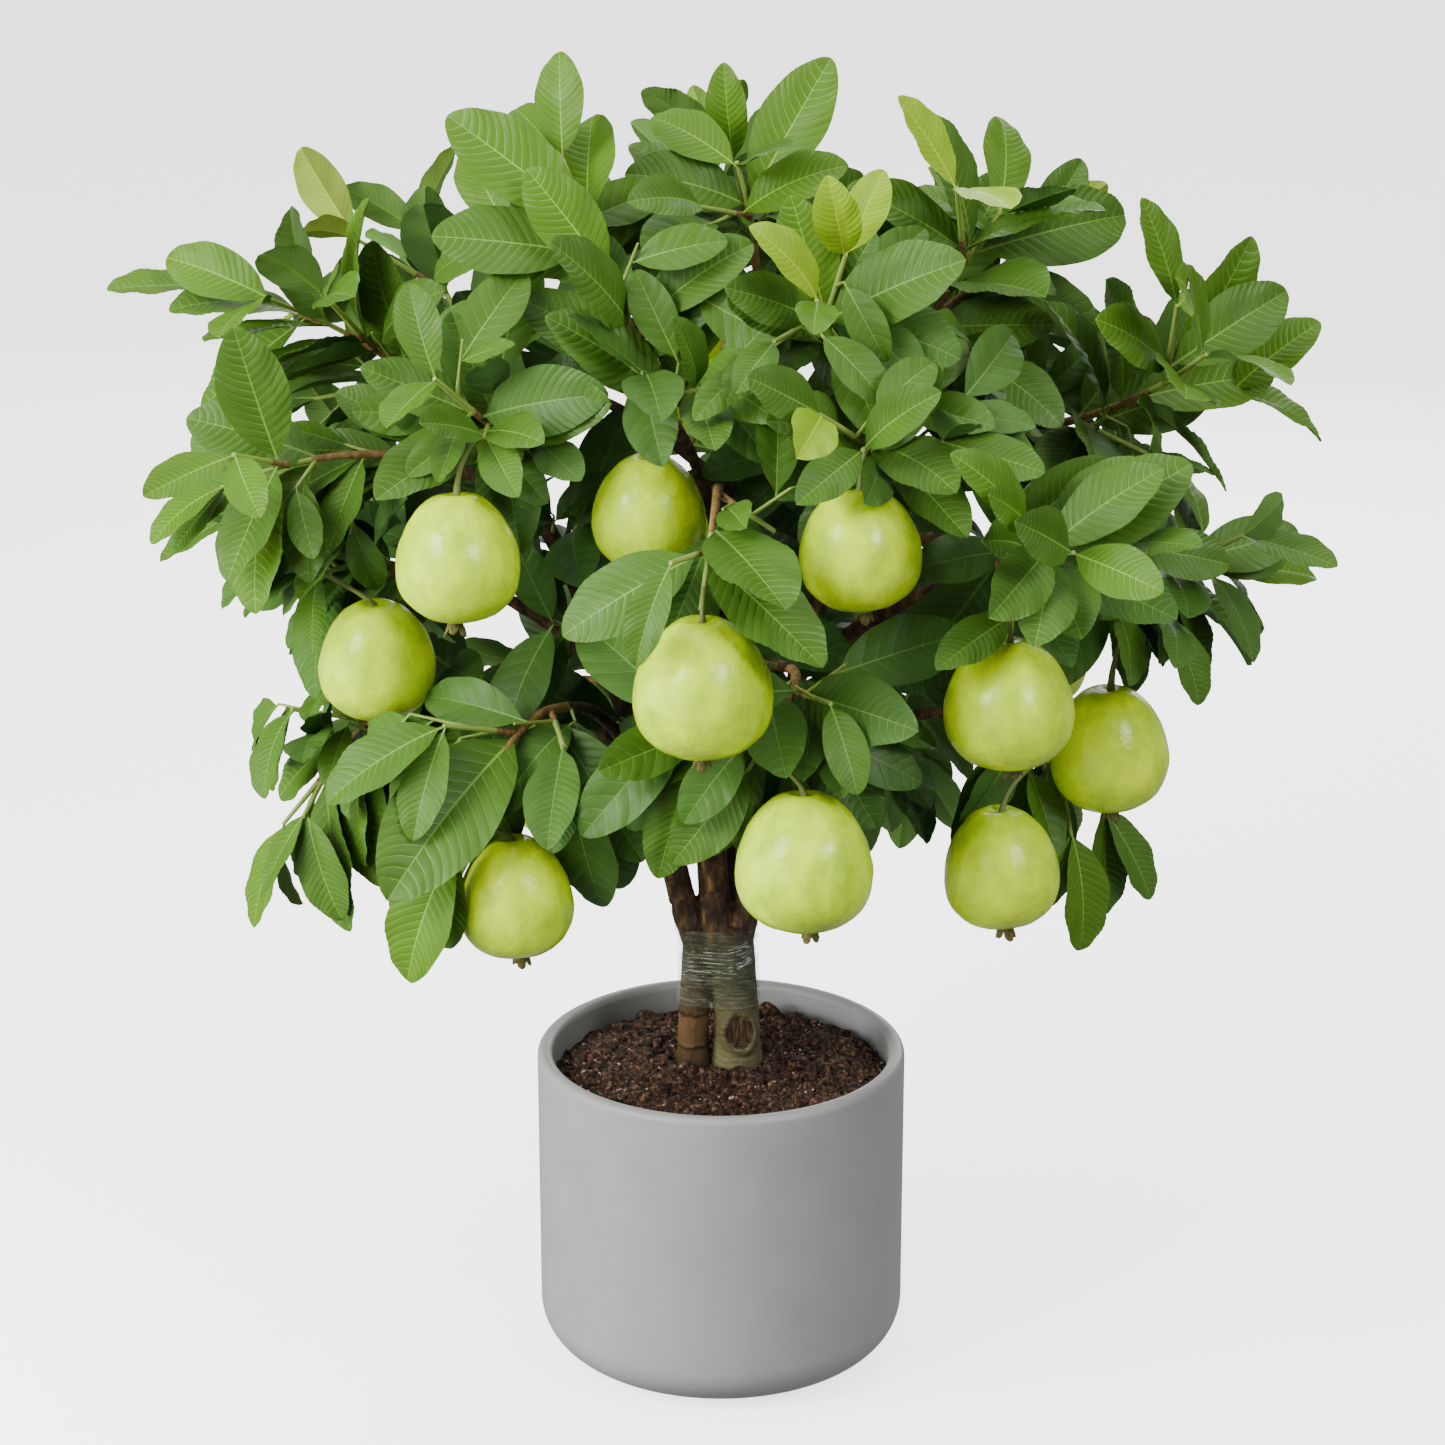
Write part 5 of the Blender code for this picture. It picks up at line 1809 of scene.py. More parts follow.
@dataclass
class Rods:
    """Round rods of one finish that follow paths, with the relief of their skin.

    Attributes:
        name: Name of the piece.
        paths: Centre line and radii of each rod.
        finish: What they are finished in.
        sides: Sides of each rod.
        step: Length of each stretch of it.
        relief: Height of the relief as a share of the radius.
        grain: Size of the relief in metres.
    """

    name: str
    paths: Sequence[Rod]
    finish: Finish
    sides: int
    step: float
    relief: float
    grain: float = 0.012

    def tree(self) -> bpy.types.NodeTree:
        """The tree that draws a round section along each path.

        Returns:
            The tree.
        """
        even = {"Curve": "lines", "Length": "in.Step"}
        swept = {"Curve": "even", "Profile Curve": "circle", "Scale": "girth", "Fill Caps": True}
        steps = (
            ("girth", READ, {"data_type": "FLOAT"}, {"Name": "girth"}),
            ("lines", "GeometryNodeMeshToCurve", {}, {"Mesh": "in.Geometry"}),
            ("even", "GeometryNodeResampleCurve", {"mode": "LENGTH"}, even),
            ("circle", "GeometryNodeCurvePrimitiveCircle", {}, {"Resolution": "in.Sides", "Radius": 1.0}),
            ("swept", "GeometryNodeCurveToMesh", {}, swept),
            ("along", VECTOR, "MULTIPLY", ("place", (1.0, 1.0, 0.45))),
            ("scale", SCALAR, "DIVIDE", (1.0, "in.Grain")),
            ("rough", NOISE, {}, {"Vector": "along", "Scale": "scale", "Detail": 4.0}),
            ("centred", SCALAR, "MULTIPLY_ADD", ("rough", 2.0, -1.0)),
            ("height", SCALAR, "MULTIPLY", ("centred", "in.Relief")),
            ("lift", SCALAR, "MULTIPLY", ("height", "girth")),
            ("push", VECTOR, "SCALE", ("normal", "lift")),
            ("barked", MOVE, {}, {"Geometry": "swept", "Offset": "push"}),
            ("smooth", "GeometryNodeSetShadeSmooth", {}, {0: "barked"}),
        )
        inputs = {"Sides": "NodeSocketInt", **dict.fromkeys(("Step", "Relief", "Grain"), FLOAT)}
        return grow_tree("rods", inputs, steps)

    def lines(self) -> bpy.types.Mesh:
        """The centre lines as one mesh of edges, with the radius at each point.

        Returns:
            The mesh.
        """
        corners, edges, girths = [], [], []
        for points, radii in self.paths:
            first = len(corners)
            corners += points
            girths += radii
            edges += [(first + i, first + i + 1) for i in range(len(points) - 1)]
        mesh = bpy.data.meshes.new(self.name)
        mesh.from_pydata(corners, edges, [])
        put_values(mesh, "girth", "FLOAT", girths)
        return mesh

    def build(self) -> bpy.types.Object:
        """Makes the rods as one plain mesh."""
        values = {"Sides": self.sides, "Step": self.step, "Relief": self.relief, "Grain": self.grain}
        return grown(self.name, self.lines(), self.tree(), {**values, "Finish": self.finish.make()})


@dataclass
class Trunk:
    """Two stems that merge under the film, with a healed cut in front and a stub for each limb.

    Attributes:
        stems: For each stem the x of its foot, its lean and its radius.
        levels: For each level of a stem its height, its share of the lean and its swelling.
        stub_foot: Height at which the stubs leave the stems.
        stub_swell: How much thicker a stub is at its foot than the limb on it.
        sides: Sides of the rods that they are made of.
        cell: Cell of the remesh that makes the stems one body.
        softening: How often the remesh is smoothed.
        bands: Heights of the rings that old leaves left on the slim stem.
        scar: Height of the healed cut, its radius, and the direction that it faces.
        collar: Radius, as a share of the cut's, and height of each ring of the bark round it.
        lumps: Height of the lumps of the bark, and of its flakes above the graft.
        flaking: Heights between which the flakes begin.
        plain: Heights between which the relief of each stem's own bark ends.
        band: Height and half the width of the rings that old leaves left.
        fibre: Height of the slim stem's fibres.
        ripple: Height of the stout stem's ripples.
        wrap: Heights between which the film begins and ends to press on the bark.
        pressed: How much flatter the relief is there, and how far the bark is pressed in.
    """

    stems: dict[str, Triple] = field(
        default_factory=lambda: {"stout": (0.0122, -0.005, 0.0174), "slim": (-0.0212, 0.004, 0.0117)}
    )
    levels: tuple[Triple, ...] = (
        (GROUND, 0.0, 1.12), (0.252, 0.0, 1.0), (0.285, 0.3, 1.0), (0.318, 0.8, 1.04), (0.345, 1.0, 0.96),
    )
    stub_foot: float = 0.315
    stub_swell: float = 1.12
    sides: int = 36
    cell: float = 0.0011
    softening: int = 4
    bands: tuple[float, ...] = (0.2475, 0.2735)
    scar: tuple[float, float, Vector] = (0.261, 0.0132, Vector((0.12, -1.0, 0.06)).normalized())
    collar: tuple[Pair, ...] = (
        (1.10, -0.012), (1.50, -0.006), (1.40, -0.0010), (1.22, 0.0022), (1.04, 0.0030), (0.92, 0.0020),
        (0.86, 0.0004),
    )
    lumps: Pair = (0.00055, 0.0013)
    flaking: Pair = (0.322, 0.350)
    plain: Pair = (0.285, 0.300)
    band: Pair = (0.0007, 0.0013)
    fibre: float = 0.0003
    ripple: float = 0.00022
    wrap: tuple[Pair, Pair] = ((0.279, 0.285), (0.340, 0.346))
    pressed: Pair = (0.65, 0.0005)

    def stem(self, name: str, steps: int = 40) -> Rod:
        """Centre line and radii of a stem, its levels joined smoothly.

        Args:
            name: Which stem.
            steps: Stretches of its centre line.

        Returns:
            Its centre line and radii.
        """
        x, lean, radius = self.stems[name]
        heights, leans, swells = zip(*self.levels)
        rise = [heights[0] + (heights[-1] - heights[0]) * i / steps for i in range(steps + 1)]
        points = [Vector((x + lean * float(np.interp(z, heights, leans)), 0, z)) for z in rise]
        return points, [radius * float(np.interp(z, heights, swells)) for z in rise]

    def stub(self, limb: Limb) -> Rod:
        """Centre line and radii of the stub that meets a limb's foot and goes a little way into it.

        Args:
            limb: The limb.

        Returns:
            Its centre line and radii.
        """
        end = limb.points[0] - limb.directions[0] * CLEARANCE
        start = Vector((end.x * 0.50, end.y * 0.30, self.stub_foot))
        middle = start.lerp(end, 0.5) - limb.directions[0] * 0.004
        radius, swell = limb.radii[0], self.stub_swell
        points = bend(start, middle, end, 8)
        radii = [radius * (swell + (1 - swell) * smooth_share(4, 8, i)) for i in range(9)]
        return points + [end + limb.directions[0] * 0.004], radii + [radius * 0.98]

    def rods(self) -> list[Rod]:
        """Centre lines and radii of everything that makes the trunk's outline."""
        return [self.stem(name) for name in self.stems] + [self.stub(LIMBS[row[0]]) for row in FORK_LIMBS]

    def scar_rings(self, steps: Sequence[Pair], split: float = 0.0, sides: int = 40) -> list[list[Vector]]:
        """Rings round the healed cut.

        Args:
            steps: Radius, as a share of the cut's, and height of each ring.
            split: Depth of the upright splits in the wood.
            sides: How many sides they have.

        Returns:
            The rings, a little taller than wide and unevenly round.
        """
        height, size, out = self.scar
        x, _, radius = self.stems["stout"]
        centre = Vector((x, 0, height)) + out * radius
        side = out.cross(Vector((0, 0, 1))).normalized()
        up = side.cross(out)
        rings = []
        for share, lift in steps:
            ring = []
            for turn in turns_of(sides):
                uneven = 1 + 0.09 * noise.noise(Vector((math.cos(turn), math.sin(turn), 3.0)) * 1.3)
                reach = size * share * uneven
                aside = 0.82 * reach * math.cos(turn)
                depth = split * max(0.0, math.sin(aside * 1150 + 0.8)) ** 3
                rise = 1.12 * reach * math.sin(turn)
                ring.append(centre + side * aside + up * rise + out * (lift - depth))
            rings.append(ring)
        return rings

    def relief(self, point: Vector) -> float:
        """How far the bark stands out at a point of the surface.

        Args:
            point: The point.

        Returns:
            The height of the bark there.
        """
        lump, flakes = self.lumps
        lift = lump * noise.fractal(Vector((point.x * 150, point.y * 150, point.z * 60)), 1.0, 2.0, 3)
        flake = noise.fractal(Vector((point.x * 260, point.y * 260, point.z * 70 + 9)), 1.0, 2.0, 3)
        lift += flakes * flake * smooth_share(*self.flaking, point.z)
        below = 1 - smooth_share(*self.plain, point.z)
        if point.x < STEM_BARK.seam:
            height, half = self.band
            for level in self.bands:
                lift += below * height * math.exp(-(((point.z - level) / half) ** 2))
            lift += below * self.fibre * noise.noise(Vector((point.x * 500, point.y * 500, point.z * 120)))
        else:
            lift += below * self.ripple * math.sin(point.z * 1400 + 2.5 * noise.noise(point * 90))
        begin, end = self.wrap
        flatter, inward = self.pressed
        wrapped = smooth_share(*begin, point.z) * (1 - smooth_share(*end, point.z))
        return lift * (1 - flatter * wrapped) - inward * wrapped

    def build(self) -> None:
        """Makes the stems as one body in their bark, and the wood of the healed cut."""
        shells = [rod(points, radii, self.sides) for points, radii in self.rods()]
        shells.append(tube(self.scar_rings(self.collar)))
        trunk = add_object("stems", new_mesh("stems", together(shells)), STEM_BARK)
        remesh = trunk.modifiers.new("one_body", "REMESH")
        remesh.mode, remesh.voxel_size, remesh.use_smooth_shade = "VOXEL", self.cell, True
        trunk.modifiers.new("soften", "SMOOTH").iterations = self.softening
        bake(trunk)
        lifts = [vertex.co + vertex.normal * self.relief(vertex.co) for vertex in trunk.data.vertices]
        for vertex, place in zip(trunk.data.vertices, lifts):
            vertex.co = place
        grain = [(0.94 - 0.042 * i, 0.0017 + 0.00045 * math.sin(i * 1.9)) for i in range(22)]
        wood = tube(self.scar_rings([(1.0, -0.003), *grain], 0.0016))
        for piece in (trunk, add_object("healed_cut", new_mesh("healed_cut", wood), SCAR_WOOD)):
            settle(piece, ["trunk"])


@dataclass
class GraftingFilm:
    """The sleeve of stretched film wound round the graft, with the folds of its windings, whose pale lines
    are partly painted glints.

    Attributes:
        trunk: What it is wound round.
        bottom: Height of its lower edge.
        top: Height of its upper edge.
        gap: Its distance from the bark.
        wall: Its thickness with all its layers.
        sides: Sides of the sleeve.
        levels: Rings of the sleeve.
        folds: For each bundle of folds how many lines it has, the height of its middle, its breadth,
            its slant, the direction in which it starts and how far round it goes.
        girths: Least and most radius of a fold.
        stretches: Stretches of a fold.
        margin: How far the folds keep from the sleeve's edges.
        creases: Height of the slanting creases and of the fine ones.
        seed: Seed of their wandering.
    """

    trunk: Trunk
    bottom: float = 0.281
    top: float = 0.343
    gap: float = 0.0007
    wall: float = 0.0008
    sides: int = 96
    levels: int = 64
    folds: tuple[tuple[int, float, float, float, float, float], ...] = (
        (4, 0.3080, 0.0150, 0.001, 0.0, 6.2),
        # The twelve lines from the front round to the right are mostly painted glints
        (12, 0.3285, 0.0180, 0.005, -1.6, 1.5),
        (6, 0.3250, 0.0200, 0.007, -2.2, 2.6),
        (3, 0.3140, 0.0050, 0.018, -2.6, 2.4),
        (3, 0.2865, 0.0060, -0.003, -0.4, 5.6),
        (2, 0.3410, 0.0020, 0.002, 0.3, 5.8),
    )
    girths: Pair = (0.00018, 0.00042)
    stretches: int = 48
    margin: float = 0.0006
    creases: Pair = (0.00030, 0.00016)
    seed: int = 12

    def point(self, height: float, turn: float, growth: float) -> Vector:
        """A point of the film's surface, out by growth from what a stretched band touches there.

        Args:
            height: Its height.
            turn: Its direction in radians.
            growth: Distance from what carries the band.

        Returns:
            The point.
        """
        out = Vector((math.cos(turn), math.sin(turn), 0))
        level = min(max(height, self.bottom), self.top)
        circles = []
        for points, radii in self.trunk.rods():
            for low, high, first, last in zip(points, points[1:], radii, radii[1:]):
                if low.z <= level <= high.z:
                    share = (level - low.z) / (high.z - low.z)
                    circles.append((low.lerp(high, share), first + (last - first) * share))
        centre, radius = max(circles, key=lambda circle: circle[0].dot(out) + circle[1])
        place = centre + out * (radius + growth)
        return Vector((place.x, place.y, height))

    def crease(self, height: float, turn: float) -> float:
        """Height of the creases at a place of the film.

        Args:
            height: Height of the place.
            turn: Its direction in radians.

        Returns:
            The height of the creases.
        """
        round_it = Vector((math.cos(turn), math.sin(turn), 0))
        wander = noise.noise(round_it * 1.4 + Vector((0, 0, height * 120)))
        fine = noise.noise(round_it * 2 + Vector((0, 0, height * 420)))
        slant = height * 620 + 2.6 * math.sin(turn + 0.6) + 1.6 * wander
        return self.creases[0] * abs(math.sin(slant)) + self.creases[1] * fine

    def fold_paths(self) -> list[Rod]:
        """The lines that the edges of the windings draw round the sleeve.

        Returns:
            Centre line and radii of each line.
        """
        draw, last = random.Random(self.seed), self.stretches
        paths = []
        for count, middle, breadth, slant, start, length in self.folds:
            for i in range(count):
                level = middle + breadth * ((i + 0.5) / count - 0.5) + draw.uniform(-self.margin, self.margin)
                begin, far = start + draw.uniform(-0.3, 0.3), length * draw.uniform(0.7, 1.0)
                girth, path, radii = draw.uniform(*self.girths), [], []
                for k in range(last + 1):
                    turn = begin + far * k / last
                    height = level + slant * (k / last - 0.5) + 0.0005 * math.sin(turn * 3 + i)
                    height = min(max(height, self.bottom + self.margin), self.top - self.margin)
                    path.append(self.point(height, turn, self.gap + self.wall + 0.0003))
                    radii.append(girth * (0.35 + 0.65 * math.sin(math.pi * k / last)))
                paths.append((path, radii))
        return paths

    def build(self) -> None:
        """Makes the sleeve and the folds on it."""
        rows = [self.bottom + (self.top - self.bottom) * i / (self.levels - 1) for i in range(self.levels)]
        turns = turns_of(self.sides)
        outer = [[self.point(z, a, self.gap + self.wall + self.crease(z, a)) for a in turns] for z in rows]
        inner = [[self.point(z, a, self.gap) for a in turns] for z in (rows[-1], rows[0])]
        corners, faces = tube(outer + inner)
        last = len(corners) - self.sides
        join = [(last + i, last + (i + 1) % self.sides, (i + 1) % self.sides, i) for i in range(self.sides)]
        sleeve = add_object("film_sleeve", new_mesh("film_sleeve", (corners, faces[2:] + join)), FILM_SKIN)
        for piece in (sleeve, Rods("film_folds", self.fold_paths(), FOLD_SKIN_AND_PAINTED_GLINT, 5, 0.0012, 0.0).build()):
            settle(piece, ["grafting_film"])


def spline(points: Sequence[Vector], radii: Sequence[float], steps: int) -> Rod:
    """A smooth path through points, with radii that follow.

    Args:
        points: What it passes through.
        radii: The radius at each of them.
        steps: Stretches between one of them and the next.

    Returns:
        The finer points and radii.
    """
    ends = [points[0] * 2 - points[1], *points, points[-1] * 2 - points[-2]]
    fine, widths = [], []
    for i in range(len(points) - 1):
        a, b, c, d = ends[i : i + 4]
        for t in (k / steps for k in range(steps)):
            square, cube = a * 2 - b * 5 + c * 4 - d, b * 3 - a - c * 3 + d
            curve = b * 2 + (c - a) * t + square * t**2 + cube * t**3
            fine.append(curve * 0.5)
            widths.append(radii[i] * (1 - t) + radii[i + 1] * t)
    return fine + [points[-1]], widths + [radii[-1]]


@dataclass
class Limbs:
    """The limbs and boughs in their bark, each as its own piece from its carrier to its mass.

    Attributes:
        step: Length of each stretch.
        sides: Sides of a limb.
        bough_sides: Sides of a bough.
        foot_swell: How much thicker a bough is at its foot.
        relief: Height of the bark as a share of the radius.
    """

    step: float = 0.0022
    sides: int = 22
    bough_sides: int = 14
    foot_swell: float = 0.35
    relief: float = 0.20

    def path(self, limb: Limb) -> Rod:
        """Centre line and radii of a limb, let into what carries it and with a swollen foot.

        Args:
            limb: The limb or bough.

        Returns:
            Its centre line and radii.
        """
        points, radii = spline(limb.points, limb.radii, 6)
        if limb.carrier:
            swells = [1 - smooth_share(0, 0.16, i / len(points)) for i in range(len(points))]
            radii = [radius * (1 + self.foot_swell * swell) for radius, swell in zip(radii, swells)]
        else:
            points, radii = [points[0] - limb.directions[0] * 0.003, *points], [radii[0], *radii]
        return [*points, points[-1] + limb.directions[-1] * 0.0012], [*radii, radii[-1]]

    def build(self) -> None:
        """Makes every limb and bough."""
        for name, limb in LIMBS.items():
            sides = self.bough_sides if limb.carrier else self.sides
            bark = Rods(name + "_bark", [self.path(limb)], LIMB_BARK, sides, self.step, self.relief)
            settle(bark.build(), [name])


@dataclass
class Shoots:
    """The shoots of the crown: woody at the foot, green towards the tip and on the spurs.

    Attributes:
        crown: The crown that they bear.
        woody_leader: Woody share of a leading shoot.
        woody_side: Woody share of a side shoot.
        woody: Sides, length of a stretch, relief and grain of the woody lengths.
        green: The same of the green ones.
    """

    crown: Crown
    woody_leader: float = 0.62
    woody_side: float = 0.25
    woody: tuple[int, float, float, float] = (8, 0.004, 0.16, 0.006)
    green: tuple[int, float, float, float] = (6, 0.004, 0.08, 0.006)

    def paths(self) -> tuple[list[Rod], list[Rod]]:
        """Paths of the woody and of the green lengths.

        Returns:
            The woody lengths and the green ones.
        """
        woody, green = [], []
        for mass in self.crown.masses:
            for i, twig in enumerate(mass.twigs):
                points, radii = spline(twig.points, twig.radii, 6)
                if i == 0:
                    points, radii = [points[0] - twig.directions[0] * 0.002, *points], [radii[0], *radii]
                split = round(len(points) * (self.woody_side if i else self.woody_leader))
                woody.append((points[: split + 1], radii[: split + 1]))
                green.append((points[split:], radii[split:]))
            green += [(spur.points, spur.radii) for spur in mass.spurs]
        return woody, green

    def build(self) -> None:
        """Makes the woody twigs and the green shoots."""
        woody, green = self.paths()
        names = [mass.name for mass in self.crown.masses]
        settle(Rods("woody_twigs", woody, TWIG_BARK, *self.woody).build(), names)
        settle(Rods("green_shoots", green, SHOOT_SKIN, *self.green).build(), names)


@dataclass
class FruitSet:
    """All fruit: bodies, stalks and dried calyxes.

    Attributes:
        crown: The crown that they hang in.
        sides: Sides of a body.
        rings: Rings of a body.
        seed: Seed of their turns and lumps.
        outline: Heights, from -1 at the base to 1 at the top, and radii of a body: fullest below its
            middle, flat at its base, with soft shoulders round the dimple of the stalk.
        cup: Radii and heights down the calyx.
        calyx_sides: Corners of its rings.
        calyx_wall: Share of its width inside its wall, and the wall's rise.
        calyx_size: Width and height of a calyx.
        lumps: Height of the lumps of a body and of a calyx.
        stalk: Sides, length of a stretch, relief and grain of a stalk.
    """

    crown: Crown
    sides: int = 48
    rings: int = 40
    seed: int = 21
    outline: tuple[Pair, ...] = (
        (-1.0, 0.0), (-0.990, 0.14), (-0.955, 0.33), (-0.86, 0.60), (-0.70, 0.81), (-0.50, 0.94),
        (-0.25, 1.0), (0.0, 0.985), (0.25, 0.92), (0.50, 0.80), (0.70, 0.645), (0.85, 0.475), (0.925, 0.33),
        (0.945, 0.22), (0.92, 0.11), (0.89, 0.0),
    )
    cup: tuple[Pair, ...] = ((0.48, 0.30), (0.52, -0.10), (0.60, -0.50), (0.70, -0.90), (0.78, -1.25))
    calyx_sides: int = 40
    calyx_wall: Pair = (0.8, 0.04)
    calyx_size: Pair = (0.0094, 0.0080)
    lumps: Pair = (0.0011, 0.0004)
    stalk: tuple[int, float, float, float] = (8, 0.002, 0.12, 0.005)

    def body(self) -> bpy.types.Object:
        """One fruit body of unit width and height.

        Returns:
            The body, which is removed once hung.
        """
        knots = [Vector((radius / 2, 0, level / 2)) for level, radius in self.outline]
        profile, _ = spline(knots, [0.0] * len(knots), 3)
        rings = []
        for point in profile[1:-1]:
            ring = []
            for turn in turns_of(self.sides):
                lobes = 0.016 * math.cos(3 * turn + 0.4) + 0.012 * math.cos(5 * turn)
                reach = max(point.x, 0.002) * (1 + (0.5 + point.z) * lobes)
                ring.append(Vector((reach * math.cos(turn), reach * math.sin(turn), point.z)))
            rings.append(ring)
        return add_object("fruit_body", new_mesh("fruit_body", tube(rings)))

    def calyx(self) -> bpy.types.Object:
        """One dried calyx of unit size: a short cup whose five lobes curl out and down.

        Returns:
            The calyx, which is removed once hung.
        """
        outer, inner = [], []
        inside, rise = self.calyx_wall
        for row, (radius, level) in enumerate(self.cup):
            ring_out, ring_in = [], []
            for turn in turns_of(self.calyx_sides):
                cut = 1 - max(0.0, (row - 1) / 3) * (1 - abs(math.cos(2.5 * turn)) ** 0.5) * 0.8
                uneven = 1 + 0.12 * math.sin(2 * turn + 0.8 * row)
                reach = radius * (0.75 + 0.25 * cut) * uneven
                height = level * (0.30 + 0.70 * cut) * uneven if row > 1 else level
                x, y = math.cos(turn) * reach, math.sin(turn) * reach
                ring_out.append(Vector((x, y, height)))
                ring_in.append(Vector((x * inside, y * inside, height + rise)))
            outer.append(ring_out)
            inner.append(ring_in)
        return add_object("calyx", new_mesh("calyx", tube(outer + inner[::-1])))

    def tree(self) -> bpy.types.NodeTree:
        """The tree that sets one form at every point, turned, sized and gently lumped.

        Returns:
            The tree.
        """
        hung = {"Points": "in.Geometry", "Instance": "form.Geometry", "Rotation": "spin", "Scale": "size"}
        steps = (
            ("size", READ, {"data_type": "FLOAT_VECTOR"}, {"Name": "size"}),
            ("turn", READ, {"data_type": "FLOAT_VECTOR"}, {"Name": "turn"}),
            ("form", "GeometryNodeObjectInfo", {}, {"Object": "in.Form"}),
            ("spin", "FunctionNodeEulerToRotation", {}, {"Euler": "turn"}),
            ("hung", SET, {}, hung),
            ("loose", LOOSE, {}, {"Geometry": "hung"}),
            ("rough", NOISE, {}, {"Vector": "place", "Scale": 55.0, "Detail": 1.0}),
            ("centred", SCALAR, "MULTIPLY_ADD", ("rough", 2.0, -1.0)),
            ("height", SCALAR, "MULTIPLY", ("centred", "in.Lump")),
            ("push", VECTOR, "SCALE", ("normal", "height")),
            ("uneven", MOVE, {}, {"Geometry": "loose", "Offset": "push"}),
            ("smooth", "GeometryNodeSetShadeSmooth", {}, {0: "uneven"}),
        )
        return grow_tree("hung_fruit", {"Form": OBJECT, "Lump": FLOAT}, steps)

    def points(self, fruits: Sequence[Fruit], calyx: bool) -> bpy.types.Mesh:
        """One point for each body or calyx, with its turn and size.

        Args:
            fruits: The fruit.
            calyx: Whether the points are for the calyxes.

        Returns:
            The mesh of points.
        """
        draw = random.Random(self.seed)
        places, turns, sizes = [], [], []
        for fruit in fruits:
            tilt = (draw.uniform(-0.10, 0.10), draw.uniform(-0.10, 0.10), draw.uniform(0, math.tau))
            turns.append(tilt)
            low = fruit.centre - Vector((tilt[1], -tilt[0], 1)) * fruit.height * 0.476
            places.append(low if calyx else fruit.centre)
            width, tall = self.calyx_size[0], self.calyx_size[1] * draw.uniform(0.85, 1.1)
            sizes.append((width, width, tall) if calyx else (fruit.width, fruit.width, fruit.height))
        mesh = bpy.data.meshes.new("fruit_points")
        mesh.from_pydata(places, [], [])
        put_values(mesh, "turn", "FLOAT_VECTOR", turns)
        put_values(mesh, "size", "FLOAT_VECTOR", sizes)
        return mesh

    def build(self) -> None:
        """Makes the bodies, the calyxes and the stalks."""
        fruits = [fruit for mass in self.crown.masses for fruit in mass.fruits]
        pieces = []
        for name, form, calyx, lump, finish in (
            ("guava_fruit", self.body(), False, self.lumps[0], FRUIT_SKIN),
            ("guava_calyxes", self.calyx(), True, self.lumps[1], CALYX_SKIN),
        ):
            values = {"Form": form, "Lump": lump, "Finish": finish.make()}
            pieces.append(grown(name, self.points(fruits, calyx), self.tree(), values))
            bpy.data.objects.remove(form)
        stalks = []
        for fruit in fruits:
            hook, middle, top = fruit.stalk_ends
            swell = [1 + 0.7 * smooth_share(8, 12, i) + 0.3 * (1 - smooth_share(0, 3, i)) for i in range(13)]
            line = bend(hook, middle, top - Vector((0, 0, fruit.height * 0.01)), 12)
            stalks.append((line, [STALK_RADIUS * share for share in swell]))
        pieces.append(Rods("fruit_stalks", stalks, STALK_SKIN, *self.stalk).build())
        for piece in pieces:
            settle(piece, sorted({mass.name for mass in self.crown.masses if mass.fruits}))


